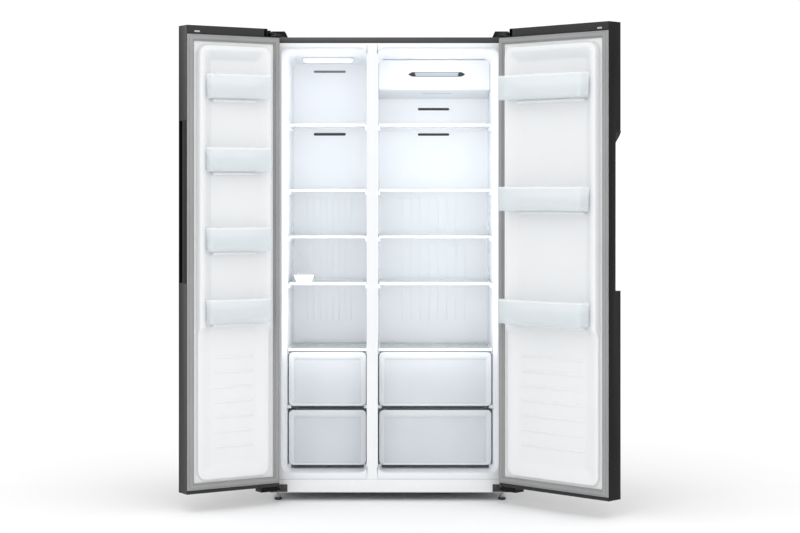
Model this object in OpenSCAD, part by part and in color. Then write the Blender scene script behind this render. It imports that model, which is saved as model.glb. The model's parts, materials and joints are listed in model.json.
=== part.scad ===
// Side by side refrigerator: narrow freezer on the left, wide fresh-food side on the right.
// Both doors stand open in the rest pose. Millimetres, +Z up, the front faces -Y.
// The origin is on the floor, under the centre of the cabinet.

/* [Cabinet] */
// Width over the steel sides
cab_w = 913; // [840:1:980]
// Height of the cabinet's top above the floor
cab_h = 1765; // [1700:1:1830]
// Depth from the front flange to the rear sheet
cab_d = 648; // [620:1:760]
// Thickness of a side wall at the mouth
side_wall = 46; // [44:1:60]
// Thickness of the wall above the compartments
top_wall = 41; // [38:1:60]
// Width of the post between the compartments
mullion_w = 40.5; // [36:0.5:60]
// Depth of the compartments from the flange to the rear covers
cavity_d = 491; // [480:1:510]

/* [Doors] */
// Width of the freezer door; the other door takes the rest
freezer_door_w = 385; // [360:1:420]
// Thickness of a door without its gasket
door_t = 72; // [66:1:84]
// How far the freezer door stands open
freezer_angle = 148; // [120:1:148]
// How far the fridge door stands open
fridge_angle = 136; // [110:1:148]
// Height of the raised rim on the inside of a door
dike_h = 31; // [26:1:33]
// Thickness of the door gasket
gasket_t = 12; // [10:0.5:14]

/* [Shelves and drawers] */
// Height of the top shelf
shelf_1_z = 1439; // [1420:1:1450]
// Height of the second shelf
shelf_2_z = 1187; // [1170:1:1200]
// Height of the third shelf
shelf_3_z = 1007; // [990:1:1020]
// Height of the fourth shelf
shelf_4_z = 826; // [810:1:840]
// Height of the cover over the drawers
drawer_cover_z = 572; // [560:1:580]
// Height of a door bin
bin_h = 90; // [70:1:96]
// Wall thickness of bins and drawers
bin_wall = 2.5; // [2:0.5:4]

/* [Hidden] */
$fn = 48;
sheet = 1;
liner_t = 2.5;
skin_t = 1.5;
fit = 0.3;
run = 0.05;
floor_gap = 32;
base_z = 40;
base_t = 2;
open_z0 = 108;
open_z1 = cab_h - top_wall;
rail_z = 82;
band_top = 22;
band_side = 14;
yf = -cab_d / 2;
gasket_clear = 0.5;
door_gap = gasket_t + gasket_clear;
door_edge = cab_w / 2 - 1.5;
door_z0 = 65;
door_top_rise = 25;
door_z1 = cab_h + door_top_rise;
door_split = 5;
fridge_door_w = 2 * door_edge - freezer_door_w - door_split;
mullion_x = -door_edge + freezer_door_w + door_split / 2;
mouth_in = 14.5;
mouth_d = 24;
fz_x0 = -cab_w / 2 + side_wall + mouth_in;
fz_x1 = mullion_x - mullion_w / 2;
fg_x0 = mullion_x + mullion_w / 2;
fg_x1 = cab_w / 2 - side_wall - mouth_in;
corner_r = 10;
ceiling_drop = 33;
step_d = 400;
step_z = 300;
machine_d = 440;
machine_z = 258;
gland_x = cab_w / 2 - 126.5;
gland_z = 236;
gland_r = 13;
freezer_rear_d = cavity_d + 75;
fridge_rear_d = cavity_d + 44;
cover_t = 10;
shelf_d0 = 96;
shelf_d1 = cavity_d - cover_t - 12;
shelf_inset = 5;
trim_h = 9;
pane_t = 4;
shelf_zs = [shelf_1_z, shelf_2_z, shelf_3_z, shelf_4_z];
drawer_inset = 5;
drawer_d0 = 99;
lower_drawer_z0 = 122;
lower_drawer_z1 = 334;
upper_drawer_z0 = 350;
upper_drawer_z1 = drawer_cover_z - 14;
upper_drawer_d1 = 470;
lower_drawer_d1 = step_d - 12;
hinge_in = 13;
hinge_x = cab_w / 2 - hinge_in;
hinge_d = 31;
hinge_y = yf - door_gap - hinge_d;
pin_r = 5;
stop_block_z0 = 45;
notch_z = cab_h - 4;
notch_w = 50;
gasket_w = 25;
gasket_top = 33;
gasket_bottom = 14;
gasket_edge = 2;
gasket_tip = 7;
dike_slope = 4;
dike_low_h = 12;
dike_step_z = 645;
dike_step = 40;
dike_r = 36;
dike_hinge = side_wall - 0.5;
dike_free = 37;
dike_z0 = open_z0 + 3;
dike_z1 = open_z1 - 3;
dike_crest = dike_slope + 17;
pocket_slope = 38;
pan_v = 5;
rib_pitch = 55;
rib_z0 = 232;
freezer_bin_reach = 74;
fridge_bin_reach = 96;
bin_hinge = 68;
bin_free = 61;
bin_slant = 38;
bin_r = 16;
freezer_bin_zs = [1520, 1250, 955, 690];
fridge_bin_zs = [1517, 1105, 688];
grip_w = 36;
grip_t = 32;
grip_z0 = 819;
grip_z1 = 1404;
grip_curve = 80;
grip_steps = 12;
pull_z0 = 839;
pull_z1 = 1441;
pull_t = 32;
pull_w = 38;
ledge_v = 20;
ledge_h = 12;
freezer_fan_z = 1300;
fan_r = 52;
fan_shaft_r = 3;
foot_x = cab_w / 2 - 29.5;
foot_d = 30;
foot_r = 15;
stud_r = 5;
roller_x = cab_w / 2 - 56.5;
roller_d = 590;
roller_r = 19;
roller_w = 20;
axle_r = 4;
evaporator_fan_x = (fz_x0 + fz_x1) / 2;
evaporator_fan_y = yf + cavity_d + 10;
condenser_fan_x = 60;
condenser_fan_y = yf + machine_d + 70;
condenser_fan_z = 148;
condenser_x0 = cab_w / 2 - 306.5;
condenser_x1 = cab_w / 2 - 76.5;
drip_x0 = -cab_w / 2 + 36.5;

// Block between two opposite corners.
module slab(a, b) {
    translate(a) cube(b - a);
}

// Block given by its x and z limits and its depths behind the flange plane.
module block(x0, x1, d0, d1, z0, z1) {
    slab([x0, yf + d0, z0], [x1, yf + d1, z1]);
}

// Rectangle with rounded corners between two opposite corners.
module round_rect(a, b, r) {
    translate([a.x + r, a.y]) square([b.x - a.x - 2 * r, b.y - a.y]);
    translate([a.x, a.y + r]) square([b.x - a.x, b.y - a.y - 2 * r]);
    for (x = [a.x + r, b.x - r], y = [a.y + r, b.y - r]) translate([x, y]) circle(r);
}

// Extrudes a (y, z) outline along x.
module along_x(x0, x1) {
    translate([x0, 0, 0]) rotate([90, 0, 90]) linear_extrude(x1 - x0) children();
}

// Extrudes an (x, z) outline along y.
module along_y(y0, y1) {
    translate([0, y1, 0]) rotate([90, 0, 0]) linear_extrude(y1 - y0) children();
}

// Pin or tube along x between two x values.
module rod_x(x0, x1, y, z, r) {
    translate([x0, y, z]) rotate([0, 90, 0]) cylinder(r = r, h = x1 - x0);
}

// Pin or tube along y between two y values.
module rod_y(y0, y1, x, z, r) {
    translate([x, y1, z]) rotate([90, 0, 0]) cylinder(r = r, h = y1 - y0);
}

// Space of one compartment, grown by g on every side but the front. Its mouth is wider
// beside the cabinet's side, to take the raised rim of the door.
module compartment(x0, x1, rear_d, g) {
    m0 = x0 - g - (x0 == fz_x0 ? mouth_in : 0);
    m1 = x1 + g + (x1 == fg_x1 ? mouth_in : 0);
    slope_d = mouth_d + mouth_in;
    intersection() {
        translate([0, 0, open_z0 - g]) linear_extrude(open_z1 - open_z0 + 2 * g) polygon([
            [m0, yf], [m0, yf + mouth_d], [x0 - g, yf + slope_d],
            [x0 - g, yf + rear_d + g], [x1 + g, yf + rear_d + g],
            [x1 + g, yf + slope_d], [m1, yf + mouth_d], [m1, yf]]);
        along_x(m0, m1) polygon([
            [yf, open_z0 - g], [yf + step_d + g, open_z0 - g],
            [yf + step_d + g, step_z - g], [yf + rear_d + g, step_z - g],
            [yf + rear_d + g, open_z1 - ceiling_drop + g], [yf, open_z1 + g]]);
        along_y(yf, yf + rear_d + g)
            round_rect([m0, open_z0 - g], [m1, open_z1 + g], corner_r + g);
    }
}

// Moulded liner: shell, front flange, shelf rails and drawer rails.
module liner(x0, x1, rear_d, flange_x0, flange_x1) {
    difference() {
        union() {
            compartment(x0, x1, rear_d, liner_t);
            block(flange_x0, flange_x1, 0, 2, rail_z, cab_h - band_top);
        }
        difference() {
            compartment(x0, x1, rear_d, 0);
            for (z = shelf_zs) {
                rail_pair(x0, x1, z - trim_h - 1 - 12, z - trim_h - 1, 120, 430, 8);
            }
            rail_pair(x0, x1, drawer_cover_z - 23, drawer_cover_z - 11, 110, 430, 7);
            rail_pair(x0, x1, upper_drawer_z0 - 11, upper_drawer_z0 - fit, 110, 380, 14);
            rail_pair(x0, x1, open_z0, lower_drawer_z0 - fit, 110, 380, 14);
        }
        block(fz_x1, fg_x0, 0, sheet + 0.5, 0, cab_h);
    }
}

// Left and right rails on the walls of a compartment.
module rail_pair(x0, x1, z0, z1, d0, d1, w) {
    block(x0 - 1, x0 + w, d0, d1, z0, z1);
    block(x1 - w, x1 + 1, d0, d1, z0, z1);
}

module outer_case() {
    color([0.05, 0.05, 0.055]) {
        for (s = [-1, 1]) {
            slab([s > 0 ? cab_w / 2 - sheet : -cab_w / 2, yf, floor_gap],
                 [s > 0 ? cab_w / 2 : -cab_w / 2 + sheet, -yf, cab_h]);
            slab([s > 0 ? cab_w / 2 - band_side : -cab_w / 2, yf, floor_gap],
                 [s > 0 ? cab_w / 2 : -cab_w / 2 + band_side, yf + sheet, cab_h]);
        }
        block(-cab_w / 2, cab_w / 2, 0, cab_d, cab_h - sheet, cab_h);
        block(-cab_w / 2, cab_w / 2, 0, sheet, cab_h - band_top, cab_h);
    }
}

module back_panel() {
    color([0.55, 0.56, 0.57])
        block(-cab_w / 2 + sheet, cab_w / 2 - sheet, cab_d - sheet, cab_d,
              machine_z + base_t, cab_h - sheet);
}

module base_pan() {
    inner = cab_w / 2 - sheet;
    color([0.35, 0.36, 0.37]) difference() {
        union() {
            block(-inner, inner, 14, cab_d - sheet, base_z, base_z + base_t);
            block(-inner, inner, machine_d - base_t, machine_d, base_z, machine_z);
            block(-inner, inner, machine_d - base_t, cab_d, machine_z, machine_z + base_t);
            for (s = [-1, 1]) {
                translate([s * foot_x, yf + foot_d, floor_gap - 4])
                    cylinder(r = 12, h = base_z - floor_gap + 5);
                for (o = [-1, 1]) {
                    x = s * roller_x + o * (roller_w / 2 + 3);
                    block(x - 1.5, x + 1.5, roller_d - 16, roller_d + 16, 10, base_z + 1);
                }
                rod_x(s * roller_x - roller_w / 2 - 4, s * roller_x + roller_w / 2 + 4,
                      yf + roller_d, roller_r, axle_r);
            }
        }
        for (s = [-1, 1]) translate([s * foot_x, yf + foot_d, 0])
            cylinder(r = stud_r + run, h = base_z + 10);
    }
}

module cabinet_foam() {
    inner = cab_w / 2 - sheet;
    color([0.9, 0.86, 0.66]) difference() {
        block(-inner, inner, 2, cab_d - sheet, base_z + base_t, cab_h - sheet);
        block(-cab_w, cab_w, machine_d - base_t, cab_d, 0, machine_z + base_t);
        compartment(fz_x0, fz_x1, freezer_rear_d, liner_t);
        compartment(fg_x0, fg_x1, fridge_rear_d, liner_t);
        for (s = [-1, 1]) translate([s * foot_x, yf + foot_d, base_z])
            cylinder(r = stud_r + 3, h = 22);
        block(-inner, inner, 0, 14, 0, rail_z);
    }
}

module freezer_liner() {
    color([0.93, 0.94, 0.95])
        liner(fz_x0, fz_x1, freezer_rear_d, -cab_w / 2 + band_side, mullion_x);
}

module fridge_liner() {
    color([0.93, 0.94, 0.95])
        liner(fg_x0, fg_x1, fridge_rear_d, mullion_x, cab_w / 2 - band_side);
}

module mullion_cover() {
    color([0.97, 0.97, 0.97])
        block(fz_x1, fg_x0, 0, sheet + 0.5, rail_z, cab_h - band_top);
}

module kick_plate() {
    half = cab_w / 2 - band_side;
    color([0.92, 0.93, 0.93]) difference() {
        block(-half, half, 0, 14, floor_gap, rail_z);
        block(-half + 2, half - 2, 2, 15, floor_gap + 2, rail_z - 2);
        for (s = [-1, 1]) translate([s * foot_x, yf + foot_d, 0])
            cylinder(r = foot_r + 3, h = rail_z);
    }
}

module freezer_duct_cover() {
    x0 = fz_x0 + 1;
    x1 = fz_x1 - 1;
    top = open_z1 - ceiling_drop - 2;
    mid = (x0 + x1) / 2 - 5;
    color([0.9, 0.93, 0.96]) difference() {
        block(x0, x1, cavity_d - cover_t, cavity_d, step_z + 1, top);
        for (z = [1654, 1403]) block(mid - 65, mid + 65, 0, cab_d, z - 3.5, z + 3.5);
        for (z = [step_z + 40 : 14 : step_z + 110])
            block(mid - 90, mid + 90, 0, cab_d, z, z + 5);
    }
}

module fridge_duct_cover() {
    x0 = fg_x0 + 1;
    x1 = fg_x1 - 1;
    top = open_z1 - ceiling_drop - 2;
    mid = (x0 + x1) / 2;
    color([0.93, 0.94, 0.95]) difference() {
        block(x0, x1, cavity_d - cover_t, cavity_d, step_z + 1, top);
        for (z = [1504, 1402]) block(mid - 64, mid + 64, 0, cab_d, z - 3.5, z + 3.5);
        for (x = [-126 : 36 : 126]) block(mid + x - 1.5, mid + x + 1.5, 0,
            cavity_d - cover_t + 1.5, 655, 1157);
    }
}

module fridge_air_housing() {
    z1 = open_z1 - 28;
    vent_x = (fg_x0 + fg_x1) / 2 + 10;
    color([0.95, 0.96, 0.96]) difference() {
        along_x(fg_x0 + 8, fg_x1 - 8) polygon([
            [yf + 330, z1], [yf + 330, z1 - 113],
            [yf + cavity_d - cover_t - fit, z1 - 142], [yf + cavity_d - cover_t - fit, z1 - 8]]);
        along_x(fg_x0 + 11, fg_x1 - 11) polygon([
            [yf + 333, z1 - 8], [yf + 333, z1 - 110],
            [yf + cavity_d, z1 - 139], [yf + cavity_d, z1 - 14]]);
        for (z = [-62 : 5 : -42])
            block(vent_x - 116, vent_x + 116, 300, 340, z1 + z, z1 + z + 3);
    }
}

// Ceiling lamp cover, centred on x at a depth behind the flange.
module lamp_cover(x, d) {
    z = open_z1 - ceiling_drop * (d + 45) / fridge_rear_d;
    difference() {
        block(x - 100, x + 100, d, d + 45, z - 14, z - 3);
        block(x - 98, x + 98, d + 2, d + 43, z - 12, z);
    }
}

module freezer_lamp_cover() {
    color([0.95, 0.95, 0.92, 0.9]) lamp_cover((fz_x0 + fz_x1) / 2 - 4, 270);
}

module fridge_lamp_cover() {
    color([0.95, 0.95, 0.92, 0.9]) lamp_cover((fg_x0 + fg_x1) / 2 + 6, 130);
}

module evaporator() {
    x0 = fz_x0 + 14;
    x1 = fz_x1 - 14;
    color([0.78, 0.79, 0.8]) {
        for (x = [x0 : 12 : x1]) block(x, x + 1, cavity_d + 8, cavity_d + 64, 560, 900);
        for (z = [590 : 56 : 870], d = [22, 50])
            rod_x(x0 - 8, x1 + 8, yf + cavity_d + d, z, 4);
    }
}

// Axial fan turning about y, its hub bored from the rear.
module fan(x, z, y0, blades) {
    color([0.15, 0.15, 0.16]) difference() {
        union() {
            rod_y(y0, y0 + 16, x, z, 14);
            for (n = [1 : blades]) translate([x, y0 + 8, z]) rotate([0, n * 360 / blades, 0])
                rotate([28, 0, 0]) translate([10, -0.8, -13]) cube([fan_r - 10, 1.6, 26]);
        }
        rod_y(y0 + 4, y0 + 17, x, z, fan_shaft_r + run);
    }
}

// Motor can behind a fan, with its shaft in the fan's hub.
module fan_motor(x, z, y0, can_h) {
    rod_y(y0 + 19, y0 + 19 + can_h, x, z, 22);
    rod_y(y0 + 5, y0 + 20, x, z, fan_shaft_r);
}

module evaporator_fan() {
    fan(evaporator_fan_x, freezer_fan_z, evaporator_fan_y, 5);
}

module condenser_fan() {
    fan(condenser_fan_x, condenser_fan_z, condenser_fan_y, 5);
}

module fan_motors() {
    y1 = condenser_fan_y;
    color([0.3, 0.3, 0.32]) {
        fan_motor(evaporator_fan_x, freezer_fan_z, evaporator_fan_y, 46);
        fan_motor(condenser_fan_x, condenser_fan_z, y1, 30);
        slab([condenser_fan_x - 10, y1 + 26, base_z + base_t],
             [condenser_fan_x + 10, y1 + 40, condenser_fan_z]);
    }
}

module compressor() {
    color([0.08, 0.08, 0.09]) translate([-180, yf + 548, 0]) {
        intersection() {
            translate([0, 0, 58]) cylinder(r = 74, h = 140);
            translate([0, 0, 128]) sphere(r = 96);
        }
        for (x = [-62, 62], y = [-46, 46]) translate([x, y, base_z + base_t])
            cylinder(r = 9, h = 18);
        slab([-80, -58, 58], [80, 58, 62]);
    }
}

module condenser() {
    a = condenser_x0;
    b = condenser_x1;
    color([0.12, 0.12, 0.13]) {
        for (x = [a : 10 : b]) block(x, x + 0.8, 560, 620, 62, 206);
        for (z = [78 : 28 : 190], d = [574, 606]) rod_x(a - 6, b + 6, yf + d, z, 3.5);
        for (x = [a - 6, b + 4]) block(x, x + 2, 560, 620, base_z + base_t, 206);
    }
}

module drip_tray() {
    color([0.2, 0.2, 0.21]) difference() {
        block(drip_x0, drip_x0 + 130, 470, 630, base_z + base_t, 96);
        block(drip_x0 + 3, drip_x0 + 127, 473, 627, base_z + base_t + 3, 97);
    }
}

// Louvred rear cover with the gland that a mains lead would leave by.
module machine_room_cover() {
    inner = cab_w / 2 - sheet;
    color([0.4, 0.41, 0.42]) difference() {
        union() {
            block(-inner, inner, cab_d - sheet, cab_d, base_z + base_t, machine_z);
            rod_y(yf + cab_d - 14, yf + cab_d, gland_x, gland_z, gland_r);
        }
        for (x = [-390 : 26 : 390], z = [80, 130, 180])
            block(x - 4, x + 4, cab_d - 5, cab_d + 5, z, z + 34);
        rod_y(yf + cab_d - 15, yf + cab_d + 1, gland_x, gland_z, gland_r / 2);
    }
}

module top_hinges() {
    color([0.13, 0.13, 0.14]) for (s = [-1, 1]) {
        slab([s > 0 ? hinge_x - 44 : -hinge_x - 6, yf + 6, cab_h],
             [s > 0 ? hinge_x + 6 : -hinge_x + 44, yf + 84, cab_h + 4]);
        slab([s > 0 ? hinge_x - 9 : -hinge_x - 6, hinge_y, cab_h],
             [s > 0 ? hinge_x + 6 : -hinge_x + 9, yf + 8, cab_h + 4]);
        translate([s * hinge_x, hinge_y, cab_h]) cylinder(r = 9, h = 4);
        translate([s * hinge_x, hinge_y, cab_h - 26]) cylinder(r = pin_r, h = 27);
    }
}

module hinge_covers() {
    color([0.06, 0.06, 0.065]) for (s = [-1, 1]) mirror([s > 0 ? 0 : 1, 0, 0]) difference() {
        along_y(yf + 2, yf + 98) polygon([
            [cab_w / 2 - 66, cab_h], [cab_w / 2 - 1, cab_h],
            [cab_w / 2 - 1, cab_h + 18], [cab_w / 2 - 6, cab_h + 23], [cab_w / 2 - 56, cab_h + 23]]);
        slab([cab_w / 2 - 61, yf, cab_h - 1], [cab_w / 2 - 3, yf + 94, cab_h + 5]);
    }
}

module bottom_hinges() {
    edge = cab_w / 2;
    color([0.1, 0.1, 0.11]) for (s = [-1, 1]) mirror([s > 0 ? 0 : 1, 0, 0]) {
        difference() {
            slab([edge - 66, yf - 3, 34], [edge, yf, 63]);
            for (x = [edge - 52, edge - 36]) rod_y(yf - 4, yf + 1, x, 54, 3);
        }
        slab([hinge_x - 26, hinge_y - 4, stop_block_z0 - 4 - fit],
             [edge, yf - 1, stop_block_z0 - fit]);
        translate([hinge_x, hinge_y, stop_block_z0 - 4 - fit]) cylinder(r = 12, h = 4);
        translate([hinge_x, hinge_y, stop_block_z0 - 2]) cylinder(r = pin_r, h = 42);
    }
}

module foot(s) {
    color([0.16, 0.16, 0.17]) translate([s * foot_x, yf + foot_d, 0]) {
        cylinder(r = foot_r, h = 9);
        cylinder(r = stud_r, h = base_z + base_t + 16);
        translate([0, 0, 9]) cylinder(r = 9, h = 8, $fn = 6);
    }
}

module front_foot_left() { foot(-1); }

module front_foot_right() { foot(1); }

module roller(s) {
    color([0.2, 0.2, 0.21]) difference() {
        rod_x(s * roller_x - roller_w / 2, s * roller_x + roller_w / 2,
              yf + roller_d, roller_r, roller_r);
        rod_x(s * roller_x - roller_w, s * roller_x + roller_w,
              yf + roller_d, roller_r, axle_r + run);
    }
}

module rear_roller_left() { roller(-1); }

module rear_roller_right() { roller(1); }

// Clear shelf with a moulded front trim.
module shelf(x0, x1, z, pane_z) {
    block(x0 + shelf_inset, x1 - shelf_inset, shelf_d0, shelf_d0 + 9, z - trim_h, z);
    block(x0 + shelf_inset, x1 - shelf_inset, shelf_d0 + 8, shelf_d1, pane_z - pane_t, pane_z);
    for (x = [x0 + shelf_inset, x1 - shelf_inset - 6])
        block(x, x + 6, shelf_d0 + 8, shelf_d1, z - trim_h, pane_z);
}

module freezer_shelf(n) {
    color([0.86, 0.92, 0.96, 0.5]) shelf(fz_x0, fz_x1, shelf_zs[n - 1], shelf_zs[n - 1] - 2);
}

module fridge_shelf(n) {
    color([0.86, 0.92, 0.96, 0.5]) shelf(fg_x0, fg_x1, shelf_zs[n - 1], shelf_zs[n - 1] - 2);
}

module drawer_cover(x0, x1) {
    z = drawer_cover_z;
    color([0.86, 0.92, 0.96, 0.5]) {
        block(x0 + 1.5, x1 - 1.5, shelf_d0, shelf_d0 + 9, z - 11, z);
        block(x0 + 1.5, x1 - 1.5, shelf_d0 + 8, shelf_d1, z - 6, z - 2);
        for (x = [x0 + 1.5, x1 - 7.5]) block(x, x + 6, shelf_d0 + 8, shelf_d1, z - 11, z - 2);
    }
}

module freezer_drawer_cover() { drawer_cover(fz_x0, fz_x1); }

module fridge_drawer_cover() { drawer_cover(fg_x0, fg_x1); }

// Clear drawer: thick front frame, thinner walls, a finger lip along the top.
module drawer(x0, x1, z0, z1, d1) {
    a = x0 + drawer_inset;
    b = x1 - drawer_inset;
    side = 8;
    tub_z1 = z1 - 24;
    color([0.85, 0.91, 0.95, 0.5]) difference() {
        union() {
            block(a, b, drawer_d0, drawer_d0 + 8, z0, z1);
            block(a + side, b - side, drawer_d0 + 4, d1, z0, tub_z1);
            block(a, b, drawer_d0 + 4, d1, tub_z1 - 10, tub_z1);
        }
        block(a + side + bin_wall, b - side - bin_wall, drawer_d0 + 8, d1 - bin_wall,
              z0 + bin_wall, z1 + 1);
        block(a + side + bin_wall, b - side - bin_wall, drawer_d0 - 1, drawer_d0 + 2,
              z0 + bin_wall, tub_z1);
    }
}

module freezer_drawer_upper() {
    drawer(fz_x0, fz_x1, upper_drawer_z0, upper_drawer_z1, upper_drawer_d1);
}

module freezer_drawer_lower() {
    drawer(fz_x0, fz_x1, lower_drawer_z0, lower_drawer_z1, lower_drawer_d1);
}

module fridge_drawer_upper() {
    drawer(fg_x0, fg_x1, upper_drawer_z0, upper_drawer_z1, upper_drawer_d1);
}

module fridge_drawer_lower() {
    drawer(fg_x0, fg_x1, lower_drawer_z0, lower_drawer_z1, lower_drawer_d1);
}

module ice_tray() {
    x0 = fz_x0 + 20;
    z0 = shelf_4_z - 2 + fit;
    color([0.96, 0.97, 0.98]) difference() {
        block(x0, x0 + 80, 150, 330, z0, z0 + 28);
        block(x0 + 3, x0 + 77, 153, 327, z0 + 16, z0 + 29);
        for (n = [0 : 4], m = [0, 1]) block(x0 + 4 + m * 37, x0 + 39 + m * 37,
            154 + n * 35, 186 + n * 35, z0 + 4, z0 + 17);
    }
}

// Places children given in door coordinates: x from the hinge edge to the free edge,
// y above the inner face towards the cabinet, z above the floor. s is -1 for the freezer.
module on_door(s) {
    translate([s * hinge_x, hinge_y, 0])
        rotate([0, 0, s > 0 ? fridge_angle : -freezer_angle])
            translate([s * (door_edge - hinge_x), hinge_d, 0])
                mirror([s > 0 ? 1 : 0, 0, 0]) children();
}

// Block on the plane y = v with sloping sides, its base between two (x, z) corners.
module frustum(a, b, v, h, side, low, high) {
    intersection() {
        translate([0, 0, a.y]) linear_extrude(b.y - a.y) polygon([
            [a.x, v], [b.x, v], [b.x - side, v + h], [a.x + side, v + h]]);
        along_x(a.x, b.x) polygon([
            [v, a.y], [v, b.y], [v + h, b.y - high], [v + h, a.y + low]]);
    }
}

// Raised rim of a door, with its two heights; g shrinks it for the back of the sheet.
module dike(w, g) {
    a = [dike_hinge + g, dike_z0 + g];
    b = [w - dike_free - g, dike_z1 - g];
    intersection() {
        union() {
            frustum(a, b, -g, dike_low_h, 2, 2, 2);
            frustum([a.x, dike_step_z + g], b, -g, dike_h,
                    dike_slope, dike_step, dike_slope);
        }
        along_y(-g - 1, dike_h + 1) round_rect(a, b, dike_r - g);
    }
}

// Hollow inside the raised rim, where the bins stand, and the shallow one under the rim's
// step; g grows it for the foam.
module door_pocket(w, g) {
    a = [dike_hinge + dike_crest - g, dike_z0 + dike_crest - g];
    bx = w - dike_free - dike_crest + g;
    for (top = [[dike_h, dike_z1 - dike_crest + g, pocket_slope], [dike_low_h, dike_step_z, 2]])
        translate([0, top[0] + pan_v - g, 0]) mirror([0, 1, 0])
            frustum(a, [bx, top[1]], pan_v - g, top[0] - pan_v + g,
                    pocket_slope, pocket_slope, top[2]);
}

// Foam inside the raised rim, behind the liner.
module rim_core(w) {
    difference() {
        dike(w, liner_t);
        door_pocket(w, liner_t);
    }
}

// Corner of a door that clears the upper hinge.
module hinge_notch() {
    slab([-1, -door_t + 5, notch_z], [notch_w, 1 + dike_h, door_z1 + 1]);
}

// Hole for the hinge pins, along the hinge axis.
module pin_hole(z0, z1, r) {
    translate([door_edge - hinge_x, -hinge_d, z0]) cylinder(r = r, h = z1 - z0);
}

// Outer skin of a door: front sheet, edges, end caps and the stop block under the hinge side.
module door_skin(w) {
    difference() {
        union() {
            translate([0, 0, door_z0]) linear_extrude(door_z1 - door_z0) {
                translate([4, -door_t]) square([w - 8, door_t]);
                translate([0, -door_t + 4]) square([w, door_t - 4]);
                for (x = [4, w - 4]) translate([x, -door_t + 4]) circle(4);
            }
            slab([4, -door_t + 12, stop_block_z0], [70, -12, door_z0 + 1]);
        }
        difference() {
            slab([skin_t, -door_t + skin_t, door_z0 + skin_t],
                 [w - skin_t, 1, door_z1 - skin_t]);
            slab([0, -door_t + 3, notch_z - skin_t], [notch_w + skin_t, 2, door_z1]);
            pin_hole(door_z0, door_z0 + 30, pin_r + 4);
            pin_hole(notch_z - 30, notch_z, pin_r + 4);
        }
        hinge_notch();
        pin_hole(stop_block_z0 - 1, door_z0 + 24, pin_r + run);
        pin_hole(notch_z - 28, notch_z + 1, pin_r + run);
    }
}

// Foam core of a door, filling the raised rim from behind.
module door_foam(w) {
    difference() {
        union() {
            slab([skin_t, -door_t + skin_t, door_z0 + skin_t],
                 [w - skin_t, -liner_t, door_z1 - skin_t]);
            rim_core(w);
        }
        slab([0, -door_t, notch_z - skin_t], [notch_w + skin_t, 2, door_z1]);
        pin_hole(door_z0, door_z0 + 30, pin_r + 4);
        pin_hole(notch_z - 30, notch_z, pin_r + 4);
    }
}

// Moulded inner liner of a door, with a ledge under each bin and ribs near the bottom.
module door_liner(w, bin_zs) {
    ledge_a = dike_hinge + dike_crest + pocket_slope;
    ledge_b = w - dike_free - dike_crest - pocket_slope;
    difference() {
        union() {
            slab([skin_t, -liner_t, door_z0 + skin_t], [w - skin_t, 0, door_z1 - skin_t]);
            dike(w, 0);
        }
        door_pocket(w, 0);
        rim_core(w);
        slab([0, -door_t, notch_z - skin_t], [notch_w + skin_t, 2, door_z1]);
    }
    for (z = bin_zs) slab([ledge_a, pan_v - 1, z - ledge_h - fit],
                          [ledge_b, pan_v + ledge_v, z - fit]);
    for (n = [0 : 6]) slab([ledge_a, pan_v - 1, rib_z0 + n * rib_pitch],
                           [ledge_b, pan_v + 2, rib_z0 + n * rib_pitch + 5]);
}

// Magnetic gasket on the inner face of a door, its sealing tip narrower than its foot.
module door_gasket(w) {
    a = [gasket_edge, door_z0 + gasket_bottom];
    b = [w - gasket_edge, door_z1 - gasket_top];
    tip = [gasket_tip, gasket_tip];
    band = [gasket_w, gasket_w];
    translate([0, gasket_t, 0]) rotate([90, 0, 0]) {
        translate([0, 0, 4]) linear_extrude(gasket_t - 4) difference() {
            translate(a) square(b - a);
            translate(a + band) square(b - a - 2 * band);
        }
        linear_extrude(gasket_t) difference() {
            translate(a + tip) square(b - a - 2 * tip);
            translate(a + band - [3, 3]) square(b - a - 2 * (band - [3, 3]));
        }
    }
}

// Outline of a bin seen from above, shrunk by g: slanted rear corners, rounded front ones.
module bin_outline(w, reach, g) {
    a = bin_hinge + g;
    b = w - bin_free - g;
    back = pan_v + 1.5 + g;
    front = reach - g;
    r = bin_r - g;
    polygon([[a + bin_slant, back], [b - bin_slant, back], [b, back + bin_slant * 0.7],
             [b, front - r], [b - r, front], [a + r, front], [a, front - r],
             [a, back + bin_slant * 0.7]]);
    for (x = [a + r, b - r]) translate([x, front - r]) circle(r);
}

// Bin that hangs on the inside of a door; reach is its front's height above the inner face.
module bin(w, z, h, reach) {
    difference() {
        translate([0, 0, z]) linear_extrude(h) bin_outline(w, reach, 0);
        translate([0, 0, z + bin_wall]) linear_extrude(h) bin_outline(w, reach, bin_wall);
        slab([0, 0, z + h * 0.6], [w, pan_v + 10, z + h + 1]);
    }
}

module freezer_door_skin() {
    color([0.06, 0.06, 0.065]) on_door(-1) difference() {
        door_skin(freezer_door_w);
        slab([freezer_door_w - skin_t - 1, -door_t + 4, pull_z0],
             [freezer_door_w + 1, 1, pull_z1]);
    }
}

module freezer_door_handle() {
    w = freezer_door_w;
    color([0.04, 0.04, 0.045]) on_door(-1) difference() {
        union() {
            slab([w - pull_w, -door_t + 4, pull_z0], [w, -door_t + 4 + pull_t, pull_z1]);
            slab([w - skin_t, -door_t + 4, pull_z0], [w, 0, pull_z1]);
        }
        slab([w - pull_w + 2, -door_t + 6, pull_z0 + 2],
             [w + 1, -door_t + 2 + pull_t, pull_z1 - 2]);
    }
}

module freezer_door_foam() {
    w = freezer_door_w;
    color([0.9, 0.86, 0.66]) on_door(-1) difference() {
        door_foam(w);
        slab([w - pull_w, -door_t + 4, pull_z0], [w, -door_t + 4 + pull_t, pull_z1]);
    }
}

module freezer_door_liner() {
    color([0.94, 0.95, 0.96]) on_door(-1) door_liner(freezer_door_w, freezer_bin_zs);
}

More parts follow.
